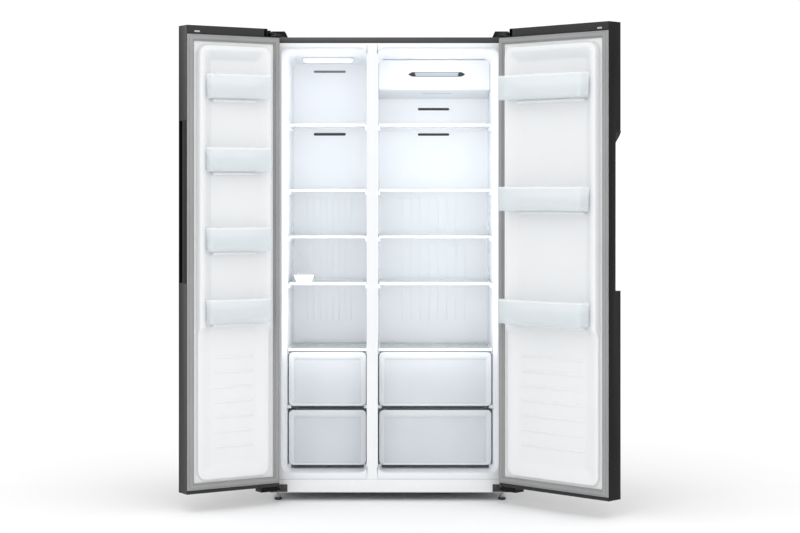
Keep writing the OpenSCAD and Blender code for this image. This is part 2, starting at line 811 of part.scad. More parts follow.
module freezer_door_gasket() {
    color([0.68, 0.68, 0.69]) on_door(-1) door_gasket(freezer_door_w);
}

// Cut for the grip in the front corner of the fridge door; g grows it for the trim behind.
module grip_cut(g) {
    w = fridge_door_w;
    top = grip_z1 + g;
    along_y(-door_t - 2, -door_t + grip_t + g) polygon([
        for (n = [0 : grip_steps])
            [w + 1 - (grip_w + 1 + g) * (1 - cos(180 * n / grip_steps)) / 2,
             top - grip_curve * n / grip_steps],
        [w - grip_w - g, grip_z0 - g], [w + 1, grip_z0 - g]]);
}

module fridge_door_skin() {
    color([0.06, 0.06, 0.065]) on_door(1) difference() {
        door_skin(fridge_door_w);
        grip_cut(2);
    }
}

module fridge_door_handle() {
    color([0.09, 0.09, 0.1]) on_door(1) difference() {
        intersection() {
            grip_cut(2);
            slab([0, -door_t, 0], [fridge_door_w, 0, door_z1]);
        }
        grip_cut(0);
    }
}

module fridge_door_foam() {
    color([0.9, 0.86, 0.66]) on_door(1) difference() {
        door_foam(fridge_door_w);
        grip_cut(2);
    }
}

module fridge_door_liner() {
    color([0.94, 0.95, 0.96]) on_door(1) door_liner(fridge_door_w, fridge_bin_zs);
}

module fridge_door_gasket() {
    color([0.68, 0.68, 0.69]) on_door(1) door_gasket(fridge_door_w);
}

module freezer_bin(n) {
    color([0.86, 0.92, 0.96, 0.5])
        on_door(-1) bin(freezer_door_w, freezer_bin_zs[n - 1], bin_h, freezer_bin_reach);
}

module fridge_bin(n) {
    color([0.86, 0.92, 0.96, 0.5])
        on_door(1) bin(fridge_door_w, fridge_bin_zs[n - 1], bin_h, fridge_bin_reach);
}

outer_case();
back_panel();
base_pan();
cabinet_foam();
freezer_liner();
fridge_liner();
mullion_cover();
kick_plate();
freezer_duct_cover();
fridge_duct_cover();
fridge_air_housing();
freezer_lamp_cover();
fridge_lamp_cover();
evaporator();
fan_motors();
evaporator_fan();
condenser_fan();
compressor();
condenser();
drip_tray();
machine_room_cover();
top_hinges();
hinge_covers();
bottom_hinges();
front_foot_left();
front_foot_right();
rear_roller_left();
rear_roller_right();
ice_tray();
for (n = [1 : 4]) freezer_shelf(n);
for (n = [1 : 4]) fridge_shelf(n);
freezer_drawer_cover();
fridge_drawer_cover();
freezer_drawer_upper();
freezer_drawer_lower();
fridge_drawer_upper();
fridge_drawer_lower();
for (n = [1 : 4]) freezer_bin(n);
for (n = [1 : 3]) fridge_bin(n);
freezer_door_skin();
freezer_door_foam();
freezer_door_liner();
freezer_door_gasket();
freezer_door_handle();
fridge_door_skin();
fridge_door_foam();
fridge_door_liner();
fridge_door_gasket();
fridge_door_handle();
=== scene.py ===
"""Side by side refrigerator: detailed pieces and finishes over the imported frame."""
import json
import math

import bmesh
import bpy
from bpy.props import FloatProperty, FloatVectorProperty, IntProperty, PointerProperty
from mathutils import Matrix, Vector


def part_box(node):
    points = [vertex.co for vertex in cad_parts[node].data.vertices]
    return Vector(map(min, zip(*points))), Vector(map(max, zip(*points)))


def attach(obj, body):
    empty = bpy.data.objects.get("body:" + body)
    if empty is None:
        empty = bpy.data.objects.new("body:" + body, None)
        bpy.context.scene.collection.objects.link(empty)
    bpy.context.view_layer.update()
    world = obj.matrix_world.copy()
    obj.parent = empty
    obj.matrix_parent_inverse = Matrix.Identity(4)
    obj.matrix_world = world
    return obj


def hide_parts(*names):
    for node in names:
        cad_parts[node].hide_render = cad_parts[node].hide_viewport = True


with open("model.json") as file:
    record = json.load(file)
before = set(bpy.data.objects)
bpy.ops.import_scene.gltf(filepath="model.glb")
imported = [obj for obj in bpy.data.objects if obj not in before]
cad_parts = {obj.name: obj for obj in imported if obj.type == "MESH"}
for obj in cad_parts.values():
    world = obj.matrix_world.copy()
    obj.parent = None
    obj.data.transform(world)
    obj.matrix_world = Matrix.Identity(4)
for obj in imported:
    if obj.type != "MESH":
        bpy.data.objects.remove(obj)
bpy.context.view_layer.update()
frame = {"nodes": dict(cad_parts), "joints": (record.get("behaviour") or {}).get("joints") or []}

bl_info = {
    "name": "Side by side refrigerator",
    "version": (1, 0, 0),
    "blender": (4, 5, 0),
    "location": "View3D > Sidebar > Refrigerator",
    "description": "Builds the visible pieces of a side by side refrigerator on its packed frame",
    "category": "Object",
}

MM = 0.001
CASE_LOW, CASE_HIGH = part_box("outer_case")
FLANGE = CASE_LOW.y
SHELF_NAMES = [f"{side}_shelf_{n}" for side in ("freezer", "fridge") for n in (1, 2, 3, 4)]
FREEZER_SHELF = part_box("freezer_shelf_1")
FRIDGE_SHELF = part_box("fridge_shelf_1")


# ---------------------------------------------------------------- sizes and colours

def length(name, text, millimetres):
    """Length property in metres, its default given in millimetres."""
    return FloatProperty(name=name, description=text, default=millimetres * MM, min=0.0,
                         unit="LENGTH", precision=4)


def colour(name, text, rgb):
    """Colour property."""
    return FloatVectorProperty(name=name, description=text, default=rgb, size=3, min=0.0,
                               max=1.0, subtype="COLOR")


class CabinetSizes(bpy.types.PropertyGroup):
    """Sizes of the cabinet's moulded and pressed pieces."""
    shelf_gap: length("Shelf gap", "Gap between a shelf and the liner's wall", 5)
    mouth_extra: length("Mouth width", "How much wider the mouth is beside the side wall", 14.5)
    mouth_depth: length("Mouth depth", "Depth of the wider mouth", 24)
    mouth_radius: length("Mouth radius", "Corner radius of a compartment's mouth", 30)
    wall_radius: length("Wall radius", "Corner radius deep inside a compartment", 24)
    ceiling_drop: length("Ceiling drop", "How far the ceiling slopes down to the rear", 33)
    opening_low: length("Opening floor", "Height of a compartment's floor", 108)
    wall_top: length("Top wall", "Thickness of the wall above the compartments", 41)
    step_depth: length("Step depth", "Depth at which the floor steps up", 400)
    step_height: length("Step height", "Height of the raised rear floor", 300)
    flange_low: length("Flange foot", "Height of the white front flange's lower edge", 82)
    band_top: length("Top band", "Height of the painted band above the flange", 22)
    band_side: length("Side band", "Width of the painted band beside the flange", 14)


class DoorSizes(bpy.types.PropertyGroup):
    """Sizes of the two doors, given from a door's hinge edge and inner face."""
    freezer_width: length("Freezer door width", "Width of the narrow door", 385)
    split: length("Split", "Gap between the closed doors", 5)
    side_gap: length("Side gap", "How far a door edge stays inside the cabinet's side", 1.5)
    pivot_in: length("Pivot inset", "Hinge axis from the door's hinge edge", 11.5)
    pivot_back: length("Pivot depth", "Hinge axis behind the door's inner face", 31)
    thickness: length("Thickness", "Door thickness without the gasket", 72)
    low: length("Door foot", "Height of the door's lower edge", 65)
    high: length("Door top", "Height of the door's upper edge", 1790)
    cap_top: length("Top cap", "Height of the dark band above the gasket", 33)
    cap_foot: length("Bottom cap", "Height of the dark band below the gasket", 14)
    rim_height: length("Rim height", "Height of the raised rim of the liner", 31)
    rim_low_height: length("Low rim height", "Height of the rim below the lowest bin", 12)
    rim_hinge: length("Rim at the hinge", "Rim's outer side from the hinge edge", 45.5)
    rim_free: length("Rim at the free edge", "Rim's outer side from the free edge", 37)
    rim_radius: length("Rim radius", "Corner radius of the raised rim", 36)
    gasket_width: length("Gasket width", "Width of the gasket", 25)
    gasket_height: length("Gasket height", "Height of the gasket", 12)
    ribs: IntProperty(name="Ribs", description="Faint ribs below the lowest bin", default=7,
                      min=0, max=12)


class Finishes(bpy.types.PropertyGroup):
    """Colours of the finishes."""
    case_black: colour("Case black", "Paint of the sides and top", (0.024, 0.024, 0.026))
    door_black: colour("Door black", "Glossy film on the door fronts", (0.006, 0.006, 0.008))
    edge_black: colour("Edge black", "Caps and edges of the doors", (0.006, 0.006, 0.0065))
    liner_white: colour("Liner white", "Moulded liners of the cabinet", (0.86, 0.875, 0.90))
    door_white: colour("Door white", "Moulded liners of the doors", (0.80, 0.81, 0.82))
    trim_white: colour("Trim white", "Front flange, plinth and shelf trims", (0.86, 0.87, 0.88))
    clear_tint: colour("Clear tint", "Tint of bins and drawers", (0.97, 0.98, 0.985))
    glass_tint: colour("Glass tint", "Tint of the shelf panes", (0.62, 0.70, 0.76))
    gasket_grey: colour("Gasket grey", "Soft gasket of a door", (0.31, 0.31, 0.312))


# ---------------------------------------------------------------- finishes

def socket(nodes, kind, **values):
    """New node with its inputs or attributes set by name."""
    node = nodes.new(kind)
    for key, value in values.items():
        if key in node.inputs:
            node.inputs[key].default_value = value
        else:
            setattr(node, key, value)
    return node


def finish(name, rgb, rough, metal=0.0, coat=0.0, alpha=1.0, glow=0.0, specular=0.5,
           cloud=0.05, cloud_size=0.25, rough_swing=0.06, grain=0.0009, grain_lift=0.02,
           second_grain=None, scuff=0.0, scuff_rgb=(0.5, 0.5, 0.5), streak=False):
    """Principled finish with clouded colour, uneven gloss, moulded or rolled grain and worn edges."""
    if name in bpy.data.materials:
        return bpy.data.materials[name]
    material = bpy.data.materials.new(name)
    material.use_nodes = True
    nodes, links = material.node_tree.nodes, material.node_tree.links
    shader = nodes["Principled BSDF"]
    for key, value in (("Metallic", metal), ("Coat Weight", coat), ("Coat Roughness", 0.04),
                       ("Alpha", alpha), ("Specular IOR Level", specular)):
        shader.inputs[key].default_value = value
    place = nodes.new("ShaderNodeTexCoord")
    stretch = nodes.new("ShaderNodeMapping")
    stretch.inputs["Scale"].default_value = (1, 1, 12) if streak else (1, 1, 1)
    links.new(place.outputs["Object"], stretch.inputs["Vector"])
    clouds = socket(nodes, "ShaderNodeTexNoise", Scale=1.0 / cloud_size, Detail=5.0,
                    Roughness=0.6)
    links.new(stretch.outputs["Vector"], clouds.inputs["Vector"])
    ramp = nodes.new("ShaderNodeValToRGB")
    ramp.color_ramp.elements[0].position = 0.3
    ramp.color_ramp.elements[1].position = 0.7
    ramp.color_ramp.elements[0].color = [c * (1 - cloud) for c in rgb] + [1]
    ramp.color_ramp.elements[1].color = [min(1.0, c * (1 + cloud)) for c in rgb] + [1]
    links.new(clouds.outputs["Fac"], ramp.inputs["Fac"])
    tone = ramp.outputs["Color"]
    if scuff > 0:
        shape = nodes.new("ShaderNodeNewGeometry")
        edge = socket(nodes, "ShaderNodeMapRange")
        edge.inputs["From Min"].default_value = 0.53
        edge.inputs["From Max"].default_value = 0.62
        edge.inputs["To Max"].default_value = scuff
        links.new(shape.outputs["Pointiness"], edge.inputs["Value"])
        worn = nodes.new("ShaderNodeMixRGB")
        worn.inputs["Color2"].default_value = (*scuff_rgb, 1)
        links.new(edge.outputs["Result"], worn.inputs["Fac"])
        links.new(tone, worn.inputs["Color1"])
        tone = worn.outputs["Color"]
    links.new(tone, shader.inputs["Base Color"])
    smears = socket(nodes, "ShaderNodeTexNoise", Scale=22.0, Detail=4.0)
    links.new(stretch.outputs["Vector"], smears.inputs["Vector"])
    gloss = nodes.new("ShaderNodeMapRange")
    gloss.inputs["To Min"].default_value = max(0.02, rough - rough_swing)
    gloss.inputs["To Max"].default_value = min(1.0, rough + rough_swing)
    links.new(smears.outputs["Fac"], gloss.inputs["Value"])
    links.new(gloss.outputs["Result"], shader.inputs["Roughness"])
    pits = socket(nodes, "ShaderNodeTexNoise", Scale=1.0 / grain, Detail=2.0)
    links.new(place.outputs["Object"], pits.inputs["Vector"])
    relief = nodes.new("ShaderNodeBump")
    relief.inputs["Strength"].default_value = 0.5
    relief.inputs["Distance"].default_value = grain_lift * MM
    links.new(pits.outputs["Fac"], relief.inputs["Height"])
    last = relief
    if second_grain:
        waves = socket(nodes, "ShaderNodeTexNoise", Scale=1.0 / second_grain, Detail=1.0)
        links.new(place.outputs["Object"], waves.inputs["Vector"])
        last = nodes.new("ShaderNodeBump")
        last.inputs["Strength"].default_value = 0.4
        last.inputs["Distance"].default_value = grain_lift * 4 * MM
        links.new(waves.outputs["Fac"], last.inputs["Height"])
        links.new(relief.outputs["Normal"], last.inputs["Normal"])
    links.new(last.outputs["Normal"], shader.inputs["Normal"])
    if glow > 0:
        shader.inputs["Emission Color"].default_value = (*rgb, 1)
        shader.inputs["Emission Strength"].default_value = glow
    return material


def palette():
    """Every finish of the refrigerator by its plain name."""
    tones = bpy.context.scene.fridge_finishes
    return {
        "case": finish("case_paint_black", tones.case_black, 0.36, cloud=0.08, grain=0.0011,
                       grain_lift=0.05, second_grain=0.006, scuff=0.12),
        "front": finish("door_film_black", tones.door_black, 0.12, coat=0.8, cloud=0.1,
                        grain=0.004, grain_lift=0.012, second_grain=0.03, rough_swing=0.04,
                        scuff=0.1),
        "edge": finish("edge_plastic_black", tones.edge_black, 0.36, cloud=0.1, specular=0.1,
                       grain=0.0007, grain_lift=0.06, scuff=0.15),
        "liner": finish("liner_plastic_white", tones.liner_white, 0.32, cloud=0.015,
                        cloud_size=0.5, grain=0.0016, grain_lift=0.02, second_grain=0.02),
        "door_liner": finish("door_liner_plastic_white", tones.door_white, 0.34, cloud=0.015,
                             cloud_size=0.4, grain=0.0016, grain_lift=0.02, second_grain=0.018),
        "trim": finish("trim_plastic_white", tones.trim_white, 0.25, cloud=0.015, grain=0.0012,
                       grain_lift=0.015),
        "clear": finish("clear_plastic", tones.clear_tint, 0.06, alpha=0.2, cloud=0.03,
                        grain=0.003, grain_lift=0.02, rough_swing=0.03),
        "rim": finish("clear_plastic_rim", tones.clear_tint, 0.12, alpha=0.45, cloud=0.03,
                      grain=0.002, grain_lift=0.02, rough_swing=0.04),
        "frost": finish("frosted_plastic", (0.88, 0.91, 0.94), 0.3, alpha=0.8, cloud=0.02,
                        grain=0.0009, grain_lift=0.05),
        "panel": finish("drawer_panel_clear", (0.90, 0.94, 0.99), 0.08, alpha=0.55, cloud=0.03,
                        grain=0.003, grain_lift=0.02, rough_swing=0.03),
        "glass": finish("shelf_glass", tones.glass_tint, 0.04, alpha=0.12, cloud=0.02,
                        grain=0.01, grain_lift=0.01, rough_swing=0.02),
        "gasket": finish("gasket_vinyl_grey", tones.gasket_grey, 0.55, cloud=0.06, grain=0.0006,
                         grain_lift=0.08, specular=0.35),
        # Near-black caps in the duct slots' throats and in the air housing's vent opening: painted
        # shade of the dark openings behind them.
        "vent": finish("vent_painted_shade", (0.012, 0.014, 0.02), 0.5, cloud=0.2, grain=0.001,
                       grain_lift=0.05),
        # Grey cap in the throat of the freezer's top duct slot, painted shade of the opening; the same
        # grey also marks the plinth seam and a small block on the air housing.
        "slot": finish("slot_grey", (0.16, 0.17, 0.19), 0.5, cloud=0.1, grain=0.001,
                       grain_lift=0.05),
        "blade": finish("louvre_grey", (0.46, 0.5, 0.55), 0.3, cloud=0.05, grain=0.001,
                        grain_lift=0.04),
        "lamp": finish("lamp_diffuser", (1.0, 1.0, 0.98), 0.4, glow=1.0, cloud=0.02,
                       grain=0.0008, grain_lift=0.06),
        "zinc": finish("galvanised_sheet", (0.42, 0.43, 0.44), 0.42, metal=0.9, cloud=0.18,
                       cloud_size=0.02, rough_swing=0.12, grain=0.002, grain_lift=0.03,
                       scuff=0.25, scuff_rgb=(0.6, 0.6, 0.6)),
        "hinge": finish("hinge_steel_black", (0.035, 0.035, 0.037), 0.4, metal=0.3, cloud=0.12,
                        grain=0.0008, grain_lift=0.08, scuff=0.35, scuff_rgb=(0.25, 0.25, 0.25)),
        "fin": finish("fin_aluminium", (0.72, 0.73, 0.74), 0.3, metal=1.0, cloud=0.06,
                      cloud_size=0.03, streak=True, grain=0.0008, grain_lift=0.05),
        "pot": finish("compressor_enamel", (0.012, 0.012, 0.013), 0.22, coat=0.4, cloud=0.15,
                      grain=0.002, grain_lift=0.12, second_grain=0.01, scuff=0.2),
        "tray": finish("tray_plastic_black", (0.03, 0.03, 0.032), 0.5, cloud=0.12, grain=0.0008,
                       grain_lift=0.08, scuff=0.1),
        "rubber": finish("foot_plastic_black", (0.022, 0.022, 0.024), 0.6, cloud=0.15,
                         grain=0.0008, grain_lift=0.1, scuff=0.15),
        "nylon": finish("roller_nylon", (0.09, 0.09, 0.092), 0.5, cloud=0.12, grain=0.001,
                        grain_lift=0.06, scuff=0.2),
        "screw": finish("screw_zinc", (0.55, 0.55, 0.54), 0.3, metal=1.0, cloud=0.1,
                        cloud_size=0.004, grain=0.0004, grain_lift=0.03),
        "pale": finish("pale_insert", (0.5, 0.5, 0.5), 0.5, cloud=0.05),
        "foam": finish("foam_yellow", (0.75, 0.66, 0.38), 0.9, cloud=0.2, cloud_size=0.03,
                       grain=0.003, grain_lift=0.6),
    }


# ---------------------------------------------------------------- mesh helpers

def loft(bm, rings, closed=True, cap_start=False, cap_end=False, slot=0):
    """Skins a row of rings of equal length."""
    rows = [[bm.verts.new(point) for point in ring] for ring in rings]
    count = len(rows[0])
    for near, far in zip(rows, rows[1:]):
        for i in range(count if closed else count - 1):
            j = (i + 1) % count
            bm.faces.new((near[i], near[j], far[j], far[i])).material_index = slot
    for wanted, row in ((cap_start, rows[0]), (cap_end, rows[-1])):
        if wanted:
            bm.faces.new(row).material_index = slot
    return rows


def rounded_ring(a0, a1, b0, b1, radius, steps=6, stops=()):
    """Rounded rectangle as (a, b) points, with extra points at heights stops on its two sides."""
    ring = []
    corners = ((a1 - radius, b0 + radius, -90, [(a1, b) for b in stops]),
               (a1 - radius, b1 - radius, 0, []),
               (a0 + radius, b1 - radius, 90, [(a0, b) for b in reversed(stops)]),
               (a0 + radius, b0 + radius, 180, []))
    for a, b, start, side in corners:
        for k in range(steps + 1):
            angle = math.radians(start + 90 * k / steps)
            ring.append((a + radius * math.cos(angle), b + radius * math.sin(angle)))
        ring += side
    return ring


def filleted(corners, radius, steps=5):
    """Closed outline with every corner rounded; radius is one value or one for each corner."""
    radii = radius if isinstance(radius, (list, tuple)) else [radius] * len(corners)
    outline = []
    for i, (corner, r) in enumerate(zip(corners, radii)):
        here = Vector(corner)
        back = Vector(corners[i - 1]) - here
        ahead = Vector(corners[(i + 1) % len(corners)]) - here
        reach = min(r / math.tan(back.angle(ahead) / 2), back.length * 0.45,
                    ahead.length * 0.45)
        start = here + back.normalized() * reach
        stop = here + ahead.normalized() * reach
        for k in range(steps + 1):
            t = k / steps
            outline.append(start * (1 - t) ** 2 + here * 2 * t * (1 - t) + stop * t * t)
    return outline


def rounded_block(bm, low, high, radius, steps=2, slot=0):
    """Block between two corners with rounded edges."""
    low, high = Vector(low), Vector(high)
    made = bmesh.ops.create_cube(bm, size=1.0)
    size = high - low
    for vert in made["verts"]:
        vert.co = low + Vector([size[k] * (vert.co[k] + 0.5) for k in range(3)])
    edges = list({edge for vert in made["verts"] for edge in vert.link_edges})
    radius = min(radius, min(size) * 0.45)
    made = bmesh.ops.bevel(bm, geom=edges, offset=radius, segments=steps, profile=0.5,
                           affect="EDGES")
    faces = {face for vert in made["verts"] for face in vert.link_faces}
    for face in faces:
        face.material_index = slot


def turned(bm, profile, centre, axis="Z", steps=32, slot=0):
    """Turns (radius, height) points round an axis through centre; both ends are closed."""
    rings = []
    for radius, height in profile:
        ring = []
        for k in range(steps):
            angle = 2 * math.pi * k / steps
            a, b = radius * math.cos(angle), radius * math.sin(angle)
            offset = {"X": (height, a, b), "Y": (b, height, a), "Z": (a, b, height)}[axis]
            ring.append(Vector(centre) + Vector(offset))
        rings.append(ring)
    loft(bm, rings, cap_start=True, cap_end=True, slot=slot)


def screw(bm, centre, axis, radius=0.0045, slot=0):
    """Flanged screw head with a recess, standing on centre along an axis such as '+Y'."""
    way = 1 if axis[0] == "+" else -1
    turned(bm, [(radius * 1.5, 0), (radius * 1.5, way * 0.0006), (radius, way * 0.0009),
                (radius * 0.92, way * 0.0026), (radius * 0.45, way * 0.003),
                (radius * 0.35, way * 0.0018)], centre, axis[1], 16, slot)


def piece(name, bm, body, finishes, replaces=(), bevel=0.0, smooth=40.0):
    """Turns a bmesh into an object that rides on a body and stands for CAD nodes."""
    bmesh.ops.recalc_face_normals(bm, faces=bm.faces)
    mesh = bpy.data.meshes.new(name)
    bm.to_mesh(mesh)
    bm.free()
    for material in finishes:
        mesh.materials.append(material)
    for face in mesh.polygons:
        face.use_smooth = True
    mesh.set_sharp_from_angle(angle=math.radians(smooth))
    thing = bpy.data.objects.new(name, mesh)
    bpy.context.scene.collection.objects.link(thing)
    if bevel:
        edges = thing.modifiers.new("edge_rounding", "BEVEL")
        edges.width, edges.segments, edges.limit_method = bevel, 2, "ANGLE"
        edges.angle_limit = math.radians(smooth)
        edges.harden_normals = True
    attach(thing, body)
    if replaces:
        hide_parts(*replaces)
    return thing


def body_mesh(node):
    """The CAD mesh of a node, welded and with its flat faces joined, as a bmesh."""
    bm = bmesh.new()
    bm.from_mesh(frame["nodes"][node].data)
    bmesh.ops.remove_doubles(bm, verts=bm.verts, dist=1e-6)
    bmesh.ops.dissolve_limit(bm, angle_limit=math.radians(1), verts=bm.verts, edges=bm.edges)
    bmesh.ops.connect_verts_concave(bm, faces=bm.faces)
    return bm


def softened(node, name, body, finishes, radius, steps=2, angle=30.0, mark=None,
             extra=None):
    """Piece with a node's own form and rounded edges; mark picks a face's finish, extra adds detail."""
    bm = body_mesh(node)
    sharp = [edge for edge in bm.edges if len(edge.link_faces) == 2
             and edge.calc_face_angle(0) > math.radians(angle)]
    bmesh.ops.bevel(bm, geom=sharp, offset=radius, segments=steps, profile=0.5,
                    affect="EDGES", clamp_overlap=True)
    for face in bm.faces:
        face.material_index = mark(face) if mark else 0
    if extra:
        extra(bm)
    return piece(name, bm, body, finishes, [node])


class Door:
    """Where a door stands: takes (from hinge edge, above inner face, height) to the frame."""

    def __init__(self, name):
        sizes = bpy.context.scene.fridge_door_sizes
        joint = next(j for j in frame["joints"] if j["name"] == name + "_hinge")
        side = 1 if joint["pos_m"][0] > 0 else -1
        turn = -joint["axis"][2] * joint["range_deg"][0]
        self.body = name
        self.kind = name.split("_")[0]
        half = CASE_HIGH.x - sizes.side_gap
        wide = 2 * half - sizes.freezer_width - sizes.split
        self.width = wide if side > 0 else sizes.freezer_width
        self.matrix = (Matrix.Translation(joint["pos_m"])
                       @ Matrix.Rotation(math.radians(turn), 4, "Z")
                       @ Matrix.Translation((side * sizes.pivot_in, sizes.pivot_back, 0))
                       @ Matrix.Diagonal((-side, 1, 1, 1)))

    def flat(self, bm):
        """Moves a bmesh drawn in door coordinates to where the door stands."""
        bmesh.ops.transform(bm, matrix=self.matrix, verts=bm.verts)

    def heights(self, part):
        """Lowest and highest z of one of the door's nodes."""
        low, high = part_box(part)
        return low.z, high.z


def doors():
    """Both doors."""
    return Door("freezer_door"), Door("fridge_door")


# ---------------------------------------------------------------- cabinet

def compartment_rings(x0, x1, wider, rear, grow, stops):
    """Cross-sections of a compartment from its mouth to its rear wall, grown outwards."""
    sizes = bpy.context.scene.fridge_cabinet_sizes
    low, step, mouth = sizes.opening_low, sizes.step_depth, sizes.mouth_depth
    high = CASE_HIGH.z - sizes.wall_top
    deep = mouth + sizes.mouth_extra
    rings = [(0.0015, low, -0.004, sizes.mouth_radius, 1), (0.0035, low, -0.0015,
             sizes.mouth_radius, 1), (0.008, low, 0, sizes.mouth_radius, 1),
             (mouth - 0.004, low, 0, sizes.mouth_radius, 1),
             (mouth + 0.001, low, 0, sizes.mouth_radius, 0.94),
             (deep - 0.001, low, 0, sizes.wall_radius, 0.06),
             (deep + 0.004, low, 0, sizes.wall_radius, 0),
             (step - 0.008, low, 0, sizes.wall_radius, 0),
             (step - 0.001, low + 0.008, 0, sizes.wall_radius, 0),
             (step, sizes.step_height - 0.01, 0, sizes.wall_radius, 0),
             (step + 0.008, sizes.step_height, 0, sizes.wall_radius, 0),
             (rear - 0.012, sizes.step_height, 0, sizes.wall_radius, 0),
             (rear - 0.003, sizes.step_height + 0.003, 0.004, sizes.wall_radius, 0),
             (rear, sizes.step_height + 0.012, 0.012, sizes.wall_radius, 0)]
    shapes = []
    for depth, floor, inset, radius, share in rings:
        ceiling = high - sizes.ceiling_drop * depth / rear
        extra = share * sizes.mouth_extra
        outline = rounded_ring(x0 + inset - grow - extra * wider[0],
                               x1 - inset + grow + extra * wider[1],
                               floor - grow + max(inset, 0),
                               ceiling - max(inset, 0) + grow, radius + grow, 6, stops)
        y = FLANGE + depth + (grow if depth > step else 0)
        shapes.append([(a, y, b) for a, b in outline])
    return shapes


def wall_rails(bm, x0, x1, low, high, front, rear, out):
    """Left and right rails that carry a shelf or a drawer, with a stop at the front."""
    for near, far in ((x0 - 0.001, x0 + out), (x1 - out, x1 + 0.001)):
        rounded_block(bm, (near, FLANGE + front, low), (far, FLANGE + rear, high), 0.0025)
        rounded_block(bm, (near, FLANGE + front, high - 0.003),
                      (far, FLANGE + front + 0.012, high + 0.004), 0.0015)


class FRIDGE_OT_liners(bpy.types.Operator):
    """Moulded liners of both compartments, with flange, rails and wall bumps"""
    bl_idname = "fridge.liners"
    bl_label = "Cabinet liners"

    def execute(self, context):
        sizes = context.scene.fridge_cabinet_sizes
        look = palette()
        stops = [0.42, 0.7, 1.0, 1.3, 1.6]
        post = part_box("mullion_cover")
        for side, shelf, rear in (("freezer", FREEZER_SHELF, 0.566),
                                  ("fridge", FRIDGE_SHELF, 0.535)):
            x0, x1 = shelf[0].x - sizes.shelf_gap, shelf[1].x + sizes.shelf_gap
            edges = [CASE_LOW.x + sizes.band_side, CASE_HIGH.x - sizes.band_side]
            edges[1 if side == "freezer" else 0] = (post[0] if side == "freezer" else post[1]).x
            low, high = sizes.flange_low, CASE_HIGH.z - sizes.band_top
            bm = bmesh.new()
            wider = (1, 0) if side == "freezer" else (0, 1)
            inner = compartment_rings(x0, x1, wider, rear, 0, stops)
            outer = compartment_rings(x0, x1, wider, rear, 0.0025, stops)[3:]
            flange = []
            for depth, inset in ((0.002, 0), (0.0006, 0), (0, 0.0008)):
                flange.append([(a, FLANGE + depth, b) for a, b in rounded_ring(
                    edges[0] + inset, edges[1] - inset, low + inset, high - inset, 0.001, 6,
                    stops)])
            lip = rounded_ring(x0 - 0.003 - wider[0] * sizes.mouth_extra,
                               x1 + 0.003 + wider[1] * sizes.mouth_extra,
                               sizes.opening_low - 0.003,
                               CASE_HIGH.z - sizes.wall_top + 0.003,
                               sizes.mouth_radius + 0.003, 6, stops)
            back = [(a, FLANGE + 0.0025, b) for a, b in lip]
            front = [(a, FLANGE, b) for a, b in lip]
            loft(bm, outer[::-1] + [back] + flange + [front] + inner[2:], cap_start=True,
                 cap_end=True)
            for n in (1, 2, 3, 4):
                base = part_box(f"{side}_shelf_{n}")[0].z
                wall_rails(bm, x0, x1, base - 0.013, base - 0.001, 0.12, 0.43, 0.008)
            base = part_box(f"{side}_drawer_cover")[0].z
            wall_rails(bm, x0, x1, base - 0.012, base, 0.11, 0.43, 0.007)
            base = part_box(f"{side}_drawer_upper")[0].z
            wall_rails(bm, x0, x1, base - 0.011, base - 0.0003, 0.11, 0.38, 0.014)
            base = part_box(f"{side}_drawer_lower")[0].z
            wall_rails(bm, x0, x1, sizes.opening_low, base - 0.0003, 0.11, 0.38, 0.014)
            for top, count in ((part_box(f"{side}_shelf_3")[0].z - 0.03, 4),
                               (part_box(f"{side}_shelf_2")[0].z - 0.03, 4)):
                for k in range(count):
                    z = top - k * 0.036
                    for near, far in ((x0 - 0.001, x0 + 0.004), (x1 - 0.004, x1 + 0.001)):
                        rounded_block(bm, (near, FLANGE + 0.405, z - 0.022),
                                      (far, FLANGE + 0.445, z), 0.0035, 3)
            piece(f"{side}_liner_moulded", bm, "cabinet", [look["liner"]],
                  [f"{side}_liner"])
        return {"FINISHED"}


